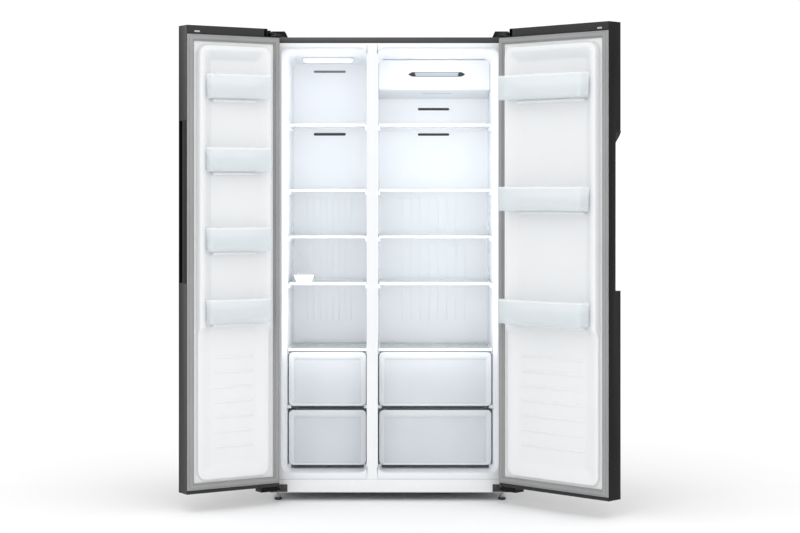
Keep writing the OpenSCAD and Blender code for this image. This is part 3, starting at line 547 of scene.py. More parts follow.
class FRIDGE_OT_case(bpy.types.Operator):
    """Painted case, rear sheet, base pan, centre post and plinth"""
    bl_idname = "fridge.case"
    bl_label = "Case and plinth"

    def execute(self, context):
        look = palette()
        softened("outer_case", "outer_case_wrap", "cabinet", [look["case"]], 0.0011,
                 3)
        low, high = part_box("mullion_cover")
        bm = bmesh.new()
        half = (high.x - low.x) / 2
        mid = (high.x + low.x) / 2
        outline = filleted([(-half, high.y), (-half, low.y + 0.0001), (half, low.y + 0.0001),
                            (half, high.y)], [0.0002, 0.0011, 0.0011, 0.0002], 4)
        loft(bm, [[(mid + p.x, p.y, z) for p in outline] for z in
                  (low.z, low.z + 0.001, high.z - 0.001, high.z)], cap_start=True, cap_end=True)
        piece("centre_post_cover", bm, "cabinet", [look["trim"]], ["mullion_cover"])

        def plinth_seam(bm):
            rounded_block(bm, (low_k.x + 0.001, low_k.y - 0.0002, high_k.z - 0.0006),
                          (high_k.x - 0.001, low_k.y + 0.003, high_k.z), 0.0002, 1, 1)
        low_k, high_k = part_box("kick_plate")
        softened("kick_plate", "plinth_cover", "cabinet", [look["trim"], look["slot"]], 0.0018,
                 3, extra=plinth_seam)
        softened("base_pan", "base_pan_pressed", "cabinet", [look["zinc"]], 0.0006)
        low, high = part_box("back_panel")
        bm = bmesh.new()
        x0, x1, z0, z1 = low.x, high.x, low.z, high.z
        rings = [[(a, high.y - 0.0018, b) for a, b in rounded_ring(x0, x1, z0, z1, 0.004)]]
        for inset, out in ((0.0, -0.0006), (0.001, 0), (0.055, 0), (0.062, -0.0006),
                           (0.068, -0.0008), (0.13, -0.0008), (0.136, -0.0006), (0.142, 0)):
            rings.append([(a, high.y + out, b) for a, b in rounded_ring(
                x0 + inset, x1 - inset, z0 + inset, z1 - inset, 0.004 + inset * 0.25)])
        loft(bm, rings, cap_start=True, cap_end=True)
        for k in range(6):
            z = z0 + 0.24 + k * (z1 - z0 - 0.48) / 5
            rounded_block(bm, (x0 + 0.2, high.y - 0.003, z - 0.007),
                          (x1 - 0.2, high.y + 0.0014, z + 0.007), 0.0012, 3)
        for x in (x0 + 0.012, x1 - 0.012):
            for k in range(7):
                screw(bm, (x, high.y, z0 + 0.03 + k * (z1 - z0 - 0.06) / 6), "+Y", 0.004, 1)
        for k in range(1, 5):
            for z in (z0 + 0.012, z1 - 0.012):
                screw(bm, (x0 + k * (x1 - x0) / 5, high.y, z), "+Y", 0.004, 1)
        piece("rear_sheet_pressed", bm, "cabinet", [look["zinc"], look["screw"]],
              ["back_panel"])
        return {"FINISHED"}


class FRIDGE_OT_air_ducts(bpy.types.Operator):
    """Rear duct covers with their slots, and the air housing under the fridge ceiling"""
    bl_idname = "fridge.air_ducts"
    bl_label = "Air ducts"

    def slotted(self, bm, x0, x1, y, z, tall, grey):
        """Recessed slot with a rounded frame and a dark cap at the back of its throat, painted shade of
        the open duct behind.
        """
        frame_slot = rounded_ring(x0 - 0.0018, x1 + 0.0018, z - tall / 2 - 0.0018,
                                  z + tall / 2 + 0.0018, tall / 2 + 0.0017)
        throat = rounded_ring(x0, x1, z - tall / 2, z + tall / 2, tall / 2 - 0.0001)
        loft(bm, [[(a, y + 0.001, b) for a, b in frame_slot],
                  [(a, y - 0.0008, b) for a, b in frame_slot],
                  [(a, y - 0.0012, b) for a, b in throat]], cap_start=True)
        # Dark cap closing the throat: painted shade where the real slot opens into the duct.
        loft(bm, [[(a, y - 0.0012, b) for a, b in throat],
                  [(a, y - 0.0004, b) for a, b in throat]], cap_end=True, slot=grey)

    def cove(self, bm, wall, way, radius, face, low, high):
        """Hollow rounded corner between a side wall and the duct cover."""
        ring = [(wall - way * 0.0005, face + 0.0005)]
        for k in range(9):
            angle = math.pi / 2 * k / 8
            ring.append((wall + way * radius * (1 - math.cos(angle)),
                         face - radius * (1 - math.sin(angle))))
        loft(bm, [[(x, y, z) for x, y in ring] for z in (low, high)], cap_start=True,
             cap_end=True)

    def execute(self, context):
        look = palette()
        for side, shift, coves in (("freezer", -0.005, (0.009, 0.02)),
                                   ("fridge", 0, (0.008, 0.012))):
            low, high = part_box(f"{side}_duct_cover")
            mid = (low.x + high.x) / 2 + shift
            high.z += 0.009
            bm = bmesh.new()
            back, face = high.y, low.y
            rings = [[(a, back, b) for a, b in rounded_ring(low.x, high.x, low.z, high.z, 0.004)]]
            for inset, depth in ((0, 0.002), (0.0006, 0.0006), (0.002, 0), (0.004, 0)):
                rings.append([(a, face + depth, b) for a, b in rounded_ring(
                    low.x + inset, high.x - inset, low.z + inset, high.z - inset,
                    0.004 + inset)])
            loft(bm, rings, cap_start=True, cap_end=True)
            self.cove(bm, low.x - 0.001, 1, coves[0], face, low.z, high.z)
            self.cove(bm, high.x + 0.001, -1, coves[1], face, low.z, high.z)
            if side == "freezer":
                self.slotted(bm, mid - 0.065, mid + 0.065, face, 1.664, 0.009, 2)
                self.slotted(bm, mid - 0.065, mid + 0.065, face, 1.41, 0.011, 1)
                for k in range(5):
                    self.slotted(bm, mid - 0.09, mid + 0.09, face, 0.3425 + k * 0.014, 0.005, 1)
            else:
                for z in (1.512, 1.409):
                    self.slotted(bm, mid - 0.064, mid + 0.064, face, z, 0.01, 1)
            for k in range(8):
                x = mid + (k * 0.036 - 0.126) * (1 if side == "fridge" else 0.7)
                rounded_block(bm, (x - 0.0022, face - 0.0011, 0.655),
                              (x + 0.0022, face + 0.001, 1.157), 0.0009, 2)
            piece(f"{side}_duct_panel", bm, "cabinet", [look["liner"], look["vent"], look["slot"]],
                  [f"{side}_duct_cover"])
        low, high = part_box("fridge_air_housing")
        mid = (low.x + high.x) / 2 + 0.01
        drop = high.z - low.z
        side_view = filleted([(low.y, high.z + 0.0065), (low.y, low.z + drop * 0.2),
                              (high.y, low.z), (high.y, high.z - 0.003)],
                             [0.004, 0.012, 0.004, 0.004], 6)
        bm = bmesh.new()
        rings = []
        for inset, x in ((0.003, low.x - 0.0075), (0.001, low.x - 0.0065), (0, low.x - 0.004),
                         (0, high.x + 0.004), (0.001, high.x + 0.0065), (0.003, high.x + 0.0075)):
            centre = sum(side_view, Vector((0, 0))) / len(side_view)
            rings.append([(x, *(p + (centre - p).normalized() * inset)) for p in side_view])
        loft(bm, rings, cap_start=True, cap_end=True)
        vent = high.z - 0.052
        lens = [(mid - 0.116, vent), (mid - 0.098, vent - 0.009), (mid + 0.098, vent - 0.009),
                (mid + 0.116, vent), (mid + 0.098, vent + 0.009), (mid - 0.098, vent + 0.009)]
        lens = filleted(lens, 0.004, 3)
        # Near-black lens-shaped plug behind the louvre blade: painted shade of the vent opening.
        loft(bm, [[(p.x, low.y + 0.002, p.y) for p in lens],
                  [(p.x, low.y - 0.0006, p.y) for p in lens]], cap_start=True, cap_end=True,
             slot=1)
        blade = filleted([(mid - 0.083, vent - 0.0065), (mid + 0.083, vent - 0.0065),
                          (mid + 0.088, vent + 0.0075), (mid - 0.088, vent + 0.0075)], 0.002, 3)
        loft(bm, [[(p.x, low.y, p.y) for p in blade],
                  [(p.x, low.y - 0.0016 + (p.y - vent) * 0.06, p.y) for p in blade]],
             cap_start=True, cap_end=True, slot=2)
        rounded_block(bm, (mid - 0.06, low.y + 0.06, low.z + drop * 0.115),
                      (mid + 0.06, low.y + 0.068, low.z + drop * 0.155), 0.001, 1, 3)
        piece("fridge_air_housing_moulded", bm, "cabinet",
              [look["liner"], look["vent"], look["blade"], look["slot"]],
              ["fridge_air_housing"])
        return {"FINISHED"}


class FRIDGE_OT_lamps(bpy.types.Operator):
    """Ceiling lamp covers with a ribbed diffuser"""
    bl_idname = "fridge.lamps"
    bl_label = "Lamp covers"

    def execute(self, context):
        look = palette()
        for side in ("freezer", "fridge"):
            low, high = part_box(f"{side}_lamp_cover")
            bm = bmesh.new()
            rounded_block(bm, (low.x, low.y, low.z + 0.004), (high.x, high.y, high.z + 0.006),
                          0.004, 3, 1)
            rounded_block(bm, (low.x + 0.006, low.y + 0.005, low.z),
                          (high.x - 0.006, high.y - 0.005, low.z + 0.006), 0.0025, 3, 0)
            for k in range(21):
                x = low.x + 0.012 + k * (high.x - low.x - 0.024) / 20
                rounded_block(bm, (x - 0.0015, low.y + 0.007, low.z - 0.0002),
                              (x + 0.0015, high.y - 0.007, low.z + 0.002), 0.0008, 1, 0)
            piece(f"{side}_lamp_diffuser", bm, "cabinet", [look["lamp"], look["liner"]],
                  [f"{side}_lamp_cover"])
        return {"FINISHED"}


# ---------------------------------------------------------------- shelves and drawers

def glazed_shelf(bm, low, high, trim_tall):
    """Glass pane in white side rails behind a rounded front trim; slots: trim, glass."""
    front = low.y
    trim = filleted([(front, high.z - trim_tall), (front, high.z), (front + 0.009, high.z),
                     (front + 0.009, high.z - trim_tall)], [0.0035, 0.0035, 0.001, 0.001], 4)
    rings = []
    for inset, x in ((0.002, low.x), (0.0006, low.x + 0.0008), (0, low.x + 0.003),
                     (0, high.x - 0.003), (0.0006, high.x - 0.0008), (0.002, high.x)):
        middle = sum(trim, Vector((0, 0))) / len(trim)
        rings.append([(x, *(p + (middle - p).normalized() * inset)) for p in trim])
    loft(bm, rings, cap_start=True, cap_end=True)
    rounded_block(bm, (low.x + 0.004, front + 0.007, high.z - 0.006),
                  (high.x - 0.004, high.y, high.z - 0.002), 0.0012, 2, 1)
    for near, far in ((low.x, low.x + 0.006), (high.x - 0.006, high.x)):
        rounded_block(bm, (near, front + 0.008, high.z - trim_tall), (far, high.y, high.z - 0.0016),
                      0.0015, 2)
    rounded_block(bm, (low.x + 0.004, high.y - 0.01, high.z - 0.008),
                  (high.x - 0.004, high.y, high.z - 0.001), 0.0015, 2)


class FRIDGE_OT_shelves(bpy.types.Operator):
    """Glass shelves and drawer covers with their trims"""
    bl_idname = "fridge.shelves"
    bl_label = "Shelves"

    def execute(self, context):
        look = palette()
        finishes = [look["trim"], look["glass"]]
        for name in SHELF_NAMES:
            bm = bmesh.new()
            glazed_shelf(bm, *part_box(name), 0.009)
            piece(f"{name}_glazed", bm, name, finishes, [name])
        for side in ("freezer", "fridge"):
            name = f"{side}_drawer_cover"
            bm = bmesh.new()
            glazed_shelf(bm, *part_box(name), 0.011)
            piece(f"{name}_glazed", bm, "cabinet", finishes, [name])
        return {"FINISHED"}


def drawer_form(bm, low, high):
    """Drawer: framed front, tapered tub and side flanges; slots: frame, panel, tub."""
    front = low.y
    outer = (low.x, high.x, low.z, high.z)
    steps = 7
    rings = []
    for inset, depth, radius in ((0.001, 0.008, 0.018), (0, 0.0065, 0.019), (0, 0.002, 0.019),
                                 (0.0006, 0.0006, 0.0185), (0.002, 0, 0.0175)):
        rings.append([(a, front + depth, b) for a, b in rounded_ring(
            outer[0] + inset, outer[1] - inset, outer[2] + inset, outer[3] - inset, radius,
            steps)])
    panel = []
    for extra, depth in ((0, 0), (0.001, 0.0008), (0.0014, 0.003)):
        panel.append([(a, front + depth, b) for a, b in rounded_ring(
            outer[0] + 0.019 + extra, outer[1] - 0.019 - extra, outer[2] + 0.007 + extra,
            outer[3] - 0.026 - extra, 0.006, steps)])
    rows = rings + panel
    loft(bm, rows, slot=0)
    pane = [[(x, y, z) for x, y, z in panel[-1]]]
    pane += [[(x, y + 0.0018, z) for x, y, z in panel[-1]]]
    loft(bm, pane, cap_start=True, cap_end=True, slot=1)
    back = [[(a, front + 0.008, b) for a, b in rounded_ring(
        outer[0] + inset, outer[1] - inset, outer[2] + inset, outer[3] - inset, 0.012, steps)]
        for inset in (0.001, 0.006)]
    loft(bm, back, slot=0)
    rounded_block(bm, (outer[0] + 0.012, front + 0.001, outer[3] - 0.02),
                  (outer[1] - 0.012, front + 0.012, outer[3] - 0.0135), 0.0025, 2, 0)
    x0, x1, y0, y1 = low.x + 0.008, high.x - 0.008, front + 0.0085, high.y
    top, floor = high.z - 0.024, low.z
    tub = []
    levels = ((floor + 0.0005, 0.012, 0), (floor, 0.007, 0), (floor + 0.004, 0.0035, 0),
              (floor + 0.03, 0.0028, 0), (top - 0.012, 0.0002, 0), (top - 0.003, 0, 0),
              (top, 0.0006, 0), (top, 0.002, 0), (top - 0.012, 0.0027, 0),
              (floor + 0.03, 0.0053, 0), (floor + 0.006, 0.006, 0), (floor + 0.0028, 0.01, 0))
    for z, inset, _ in levels:
        tub.append([(a, b, z) for a, b in rounded_ring(x0 + inset, x1 - inset, y0 + inset * 0.3,
                                                       y1 - inset, 0.016, steps)])
    loft(bm, tub, cap_start=True, cap_end=True, slot=2)
    for near, far in ((low.x, low.x + 0.0105), (high.x - 0.0105, high.x)):
        rounded_block(bm, (near, front + 0.006, top - 0.01), (far, y1, top - 0.0005), 0.002, 2, 2)


class FRIDGE_OT_drawers(bpy.types.Operator):
    """Four clear drawers with milky front frames"""
    bl_idname = "fridge.drawers"
    bl_label = "Drawers"

    def execute(self, context):
        look = palette()
        for side in ("freezer", "fridge"):
            for level in ("upper", "lower"):
                name = f"{side}_drawer_{level}"
                bm = bmesh.new()
                drawer_form(bm, *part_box(name))
                piece(f"{name}_clear", bm, name, [look["frost"], look["panel"], look["clear"]],
                      [name])
        return {"FINISHED"}


class FRIDGE_OT_ice_tray(bpy.types.Operator):
    """White ice tray with ten rounded pockets"""
    bl_idname = "fridge.ice_tray"
    bl_label = "Ice tray"

    def execute(self, context):
        look = palette()
        low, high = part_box("ice_tray")
        bm = bmesh.new()
        rings = []
        for z, inset in ((low.z, 0.012), (low.z + 0.0006, 0.0095), (low.z + 0.004, 0.008),
                         (high.z - 0.004, 0.0015), (high.z - 0.0035, 0), (high.z - 0.0006, 0),
                         (high.z, 0.0008), (high.z - 0.0002, 0.0025), (high.z - 0.011, 0.0042)):
            rings.append([(a, b, z) for a, b in rounded_ring(low.x + inset, high.x - inset,
                                                             low.y + inset, high.y - inset,
                                                             0.007, 4)])
        loft(bm, rings, cap_start=True)
        shelf = high.z - 0.011
        rim = rings[-1]
        xs = [low.x + 0.0055, (low.x + high.x) / 2 - 0.0012, (low.x + high.x) / 2 + 0.0012,
              high.x - 0.0055]
        long = high.y - low.y - 0.011
        for col in (0, 1):
            for row in range(5):
                a0, a1 = xs[col * 2], xs[col * 2 + 1]
                b0 = low.y + 0.0055 + row * long / 5 + 0.0006
                b1 = b0 + long / 5 - 0.0012
                cup = []
                for z, inset in ((shelf, -0.0006), (shelf - 0.001, 0.0006),
                                 (shelf - 0.008, 0.003), (low.z + 0.004, 0.007),
                                 (low.z + 0.002, 0.011)):
                    cup.append([(a, b, z) for a, b in rounded_ring(a0 + inset, a1 - inset,
                                                                   b0 + inset, b1 - inset,
                                                                   0.0055, 3)])
                loft(bm, cup, cap_end=True)
        for x in (xs[0] - 0.0014, xs[1] - 0.0001, xs[3] - 0.0003):
            rounded_block(bm, (x, low.y + 0.004, shelf - 0.003), (x + 0.0026, high.y - 0.004,
                          shelf + 0.0004), 0.0004, 1)
        for row in range(6):
            y = low.y + 0.0055 + row * long / 5
            rounded_block(bm, (low.x + 0.004, y - 0.0012, shelf - 0.003),
                          (high.x - 0.004, y + 0.0012, shelf + 0.0004), 0.0004, 1)
        piece("ice_tray_moulded", bm, "ice_tray", [look["trim"]], ["ice_tray"])
        return {"FINISHED"}


# ---------------------------------------------------------------- doors

class FRIDGE_OT_door_shells(bpy.types.Operator):
    """Door skins with a glossy front film, dark caps and the pale insert in the top cap"""
    bl_idname = "fridge.door_shells"
    bl_label = "Door shells"

    def execute(self, context):
        sizes = context.scene.fridge_door_sizes
        look = palette()
        for door in doors():
            into_door = door.matrix.inverted()

            def mark(face):
                spot = into_door @ face.calc_center_median()
                return 0 if spot.y < -sizes.thickness + 0.0035 and sizes.low < spot.z else 1

            softened(f"{door.body}_skin", f"{door.body}_shell", door.body,
                     [look["front"], look["edge"]], 0.0012, 3, mark=mark)
            wide, high = door.width, sizes.high
            bm = bmesh.new()
            rounded_block(bm, (0.065, -0.003, high - sizes.cap_top + 0.001),
                          (wide - 0.0012, 0.0012, high - 0.0005), 0.0009, 2)
            rounded_block(bm, (0.0012, -0.003, high - sizes.cap_top + 0.001),
                          (0.066, 0.0012, high - 0.0298), 0.0009, 2)
            rounded_block(bm, (0.0012, -0.003, sizes.low + 0.0005),
                          (wide - 0.0012, 0.0012, sizes.low + sizes.cap_foot - 0.001), 0.0009, 2)
            rounded_block(bm, (wide - 0.052, -0.002, high - 0.0255),
                          (wide - 0.03, 0.002, high - 0.019), 0.0015, 3, 1)
            door.flat(bm)
            piece(f"{door.body}_caps", bm, door.body, [look["edge"], look["pale"]])
            bm = bmesh.new()
            rounded_block(bm, (0.006, 0.004 - sizes.thickness, sizes.low + 0.02),
                          (wide - 0.06, -0.004, high - sizes.cap_top - 0.004), 0.006, 3)
            door.flat(bm)
            piece(f"{door.body}_foam_core", bm, door.body, [look["foam"]],
                  [f"{door.body}_foam"])
        return {"FINISHED"}


class FRIDGE_OT_door_liners(bpy.types.Operator):
    """Moulded door liners: raised rim, sloping inner sides, bin ledges and faint ribs"""
    bl_idname = "fridge.door_liners"
    bl_label = "Door liners"

    def execute(self, context):
        sizes = context.scene.fridge_door_sizes
        look = palette()
        for door in doors():
            bins = sorted(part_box(n)[0].z for n in frame["nodes"]
                          if n.startswith(f"{door.kind}_bin_"))
            step = bins[0] - 0.045
            stops = [0.3, 0.5] + [step + k * 0.005 for k in range(9)] + [0.8, 1.1, 1.4, 1.6]
            top = CASE_HIGH.z - context.scene.fridge_cabinet_sizes.wall_top - 0.003
            foot = context.scene.fridge_cabinet_sizes.opening_low + 0.003
            a, b = sizes.rim_hinge, door.width - sizes.rim_free
            floor = 0.005

            def crest(z):
                t = min(1.0, max(0.0, (z - step) / 0.04))
                t = t * t * (3 - 2 * t)
                return sizes.rim_low_height + (sizes.rim_height - sizes.rim_low_height) * t

            rings = []
            edge_low, edge_high = sizes.low + sizes.cap_foot, sizes.high - sizes.cap_top
            for v in (-0.0025, 0.0):
                rings.append([(u, v, z) for u, z in rounded_ring(
                    0.0016, door.width - 0.0016, edge_low, edge_high, 0.002, 8, stops)])
            for inset, share, outside in (
                    (0.0, 0.012, True), (0.0012, 0.1, True), (0.0022, 0.35, True),
                    (0.0034, 0.75, True), (0.0046, 0.9, True), (0.0068, 0.975, True),
                    (0.0095, 1.0, True), (0.018, 1.0, False), (0.0205, 0.985, False),
                    (0.0235, 0.94, False), (0.03, 0.78, False), (0.05, 0.22, False),
                    (0.0545, 0.1, False), (0.0585, 0.03, False), (0.063, 0.0, False)):
                radius = max(0.006, sizes.rim_radius - inset * 0.55)
                ring = []
                for u, z in rounded_ring(a + inset, b - inset, foot + inset, top - inset,
                                         radius, 8, stops):
                    peak = crest(z)
                    v = peak * share if outside else floor + (peak - floor) * share
                    ring.append((u, v, z))
                rings.append(ring)
            bm = bmesh.new()
            loft(bm, rings, cap_start=True, cap_end=True)
            inner_a, inner_b = a + 0.059, b - 0.059
            for z in bins:
                rounded_block(bm, (inner_a, floor - 0.002, z - 0.0123),
                              (inner_b, floor + 0.02, z - 0.0004), 0.004, 4)
            for n in range(sizes.ribs):
                z = 0.232 + n * 0.055
                rounded_block(bm, (inner_a + 0.012, floor - 0.003, z - 0.003),
                              (inner_b - 0.012, floor + 0.0022, z + 0.006), 0.002, 3)
            door.flat(bm)
            piece(f"{door.body}_liner_moulded", bm, door.body, [look["door_liner"]],
                  [f"{door.body}_liner"], smooth=50)
        return {"FINISHED"}


class FRIDGE_OT_gaskets(bpy.types.Operator):
    """Door gaskets with a soft bellows section and mitred corners"""
    bl_idname = "fridge.gaskets"
    bl_label = "Gaskets"

    def execute(self, context):
        sizes = context.scene.fridge_door_sizes
        look = palette()
        section = ((0.0016, 0.0002), (0.0004, 0.0015), (0.0, 0.0045), (0.0012, 0.0068),
                   (0.0035, 0.0078), (0.0055, 0.0072), (0.0066, 0.0078), (0.0068, 0.0102),
                   (0.0078, 0.0116), (0.0098, 0.012), (0.0135, 0.0119), (0.0165, 0.012),
                   (0.0184, 0.0114), (0.0192, 0.01), (0.0196, 0.0066), (0.0212, 0.006),
                   (0.0232, 0.0058), (0.0248, 0.0044), (0.025, 0.0015), (0.0242, 0.0002))
        for door in doors():
            low, high = sizes.low + sizes.cap_foot, sizes.high - sizes.cap_top
            scale_w, scale_h = sizes.gasket_width / 0.025, sizes.gasket_height / 0.012
            rings = []
            for inset, v in section:
                inset *= scale_w
                rings.append([(u, v * scale_h, z) for u, z in rounded_ring(
                    0.002 + inset, door.width - 0.002 - inset, low + inset, high - inset,
                    0.0035)])
            bm = bmesh.new()
            rows = loft(bm, rings)
            count = len(rows[0])
            for i in range(count):
                j = (i + 1) % count
                bm.faces.new((rows[-1][i], rows[-1][j], rows[0][j], rows[0][i]))
            door.flat(bm)
            piece(f"{door.body}_gasket_soft", bm, door.body, [look["gasket"]],
                  [f"{door.body}_gasket"], smooth=60)
        return {"FINISHED"}


class FRIDGE_OT_grips(bpy.types.Operator):
    """Finger pocket of the freezer door and grip trim of the fridge door"""
    bl_idname = "fridge.grips"
    bl_label = "Grips"

    def execute(self, context):
        look = palette()
        for name in ("freezer_door", "fridge_door"):
            softened(f"{name}_handle", f"{name}_grip", name, [look["edge"]], 0.0009,
                     3)
        return {"FINISHED"}


def bin_form(bm, wide, base, tall, reach):
    """Clear bin with slanted rear corners, tapered walls and a beaded rim; slots: wall, rim."""
    hinge, free, slant, back = 0.068, 0.061, 0.038, 0.0065

    def outline(inset, z, dip=0.0):
        a, b = hinge + inset, wide - free - inset
        rear, front = back + inset, reach - inset
        corners = [(a + slant, rear), (b - slant, rear), (b, rear + slant * 0.7), (b, front),
                   (a, front), (a, rear + slant * 0.7)]
        radii = [0.012, 0.012, 0.01, 0.016, 0.016, 0.01]
        ring = []
        for p in filleted(corners, radii, 6):
            low_rear = max(0.0, 1 - (p.y - back) / 0.03)
            ring.append((p.x, p.y, z - dip * min(1.0, low_rear * 1.6)))
        return ring

    dip = tall * 0.4
    wall = [outline(0.008, base), outline(0.0042, base + 0.0006), outline(0.0022, base + 0.0035),
            outline(0.0016, base + tall * 0.3), outline(0.0004, base + tall - 0.006, dip)]
    bead = [wall[-1], outline(0.0, base + tall - 0.0045, dip), outline(0.0, base + tall - 0.001,
            dip), outline(0.0008, base + tall, dip), outline(0.0024, base + tall, dip),
            outline(0.003, base + tall - 0.0012, dip), outline(0.003, base + tall - 0.006, dip)]
    inside = [bead[-1], outline(0.0041, base + tall * 0.3), outline(0.0047, base + 0.005),
              outline(0.0075, base + 0.0028)]
    loft(bm, wall, cap_start=True, slot=0)
    loft(bm, bead, slot=1)
    loft(bm, inside, cap_end=True, slot=0)
    bmesh.ops.remove_doubles(bm, verts=bm.verts, dist=2e-6)


class FRIDGE_OT_bins(bpy.types.Operator):
    """Seven clear door bins"""
    bl_idname = "fridge.bins"
    bl_label = "Door bins"

    def execute(self, context):
        look = palette()
        for door in doors():
            reach = 0.074 if door.kind == "freezer" else 0.096
            for name in sorted(n for n in frame["nodes"] if n.startswith(f"{door.kind}_bin_")):
                low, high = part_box(name)
                bm = bmesh.new()
                bin_form(bm, door.width, low.z, high.z - low.z, reach)
                door.flat(bm)
                piece(f"{name}_clear", bm, name, [look["clear"], look["rim"]], [name],
                      smooth=50)
        return {"FINISHED"}


# ---------------------------------------------------------------- hinges, feet, machinery

class FRIDGE_OT_hinges(bpy.types.Operator):
    """Upper hinge plates and covers, lower brackets and their bolts"""
    bl_idname = "fridge.hinges"
    bl_label = "Hinges"

    def execute(self, context):
        look = palette()
        softened("top_hinges", "upper_hinge_plates", "cabinet", [look["hinge"]], 0.0008)

        def cover_screws(bm):
            low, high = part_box("hinge_covers")
            for x in (low.x + 0.033, high.x - 0.033):
                screw(bm, (x, high.y - 0.03, high.z - 0.0002), "+Z", 0.004, 1)
            arms_low, arms_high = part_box("top_hinges")
            for way in (-1, 1):
                x = way * (arms_high.x - 0.006)
                rounded_block(bm, (x - 0.007, arms_low.y + 0.002, arms_high.z + 0.0004),
                              (x + 0.005, low.y + 0.004, arms_high.z + 0.012), 0.003, 3)
        softened("hinge_covers", "upper_hinge_covers", "cabinet", [look["edge"], look["screw"]],
                 0.0035, 4, extra=cover_screws)

        def bolts(bm):
            low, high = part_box("bottom_hinges")
            front = FLANGE - 0.003
            for way in (-1, 1):
                for inset in (0.052, 0.036):
                    turned(bm, [(0.0075, 0), (0.0075, -0.001), (0.0062, -0.0014),
                                (0.0062, -0.005), (0.0045, -0.0056)],
                           (way * (CASE_HIGH.x - inset), front, 0.054), "Y", 6, 1)
        softened("bottom_hinges", "lower_hinge_brackets", "cabinet",
                 [look["hinge"], look["rubber"]], 0.0008, extra=bolts)
        return {"FINISHED"}


class FRIDGE_OT_feet(bpy.types.Operator):
    """Threaded front feet with knurled discs, and the rear rollers"""
    bl_idname = "fridge.feet"
    bl_label = "Feet and rollers"

    def execute(self, context):
        look = palette()
        for side in ("left", "right"):
            name = f"front_foot_{side}"
            low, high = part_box(name)
            x, y = (low.x + high.x) / 2, (low.y + high.y) / 2
            bm = bmesh.new()
            rings = []
            for radius, z, ripple in ((0.0115, 0.0, 0), (0.0135, 0.0006, 0), (0.0145, 0.002, 0.0004),
                                      (0.0146, 0.007, 0.0004), (0.0138, 0.0086, 0),
                                      (0.011, 0.009, 0)):
                rings.append([(x + (radius + ripple * math.cos(24 * t)) * math.cos(t),
                               y + (radius + ripple * math.cos(24 * t)) * math.sin(t), z)
                              for t in [2 * math.pi * k / 96 for k in range(96)]])
            loft(bm, rings, cap_start=True, cap_end=True)
            turned(bm, [(0.0085, 0.0088), (0.009, 0.0095), (0.009, 0.0165), (0.0085, 0.017)],
                   (x, y, 0), "Z", 6, 1)
            thread = [(0.0044, 0.0165)]
            z = 0.0175
            while z < high.z - 0.002:
                thread += [(0.0044, z), (0.005, z + 0.0006), (0.0044, z + 0.0012)]
                z += 0.0013
            turned(bm, thread + [(0.004, high.z - 0.0005)], (x, y, 0), "Z", 24, 1)
            piece(f"{name}_threaded", bm, name, [look["rubber"], look["screw"]], [name])
            name = f"rear_roller_{side}"
            low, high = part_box(name)
            centre = (low + high) / 2
            half, radius = (high.x - low.x) / 2, (high.z - low.z) / 2
            bm = bmesh.new()
            profile = [(0.00406, -half + 0.001), (0.0075, -half), (0.009, -half),
                       (0.01, -half + 0.003), (0.0135, -half + 0.003), (0.0145, -half),
                       (radius - 0.002, -half), (radius - 0.0006, -half + 0.0008),
                       (radius, -half + 0.0025), (radius, half - 0.0025),
                       (radius - 0.0006, half - 0.0008), (radius - 0.002, half),
                       (0.0145, half), (0.0135, half - 0.003), (0.01, half - 0.003),
                       (0.009, half), (0.0075, half), (0.00406, half - 0.001)]
            rings = []
            for r, h in profile:
                rings.append([(centre.x + h, centre.y + r * math.cos(2 * math.pi * k / 48),
                               centre.z + r * math.sin(2 * math.pi * k / 48))
                              for k in range(48)])
            rows = loft(bm, rings)
            for k in range(48):
                j = (k + 1) % 48
                bm.faces.new((rows[-1][k], rows[-1][j], rows[0][j], rows[0][k]))
            piece(f"{name}_wheel", bm, name, [look["nylon"]], [name])
        return {"FINISHED"}


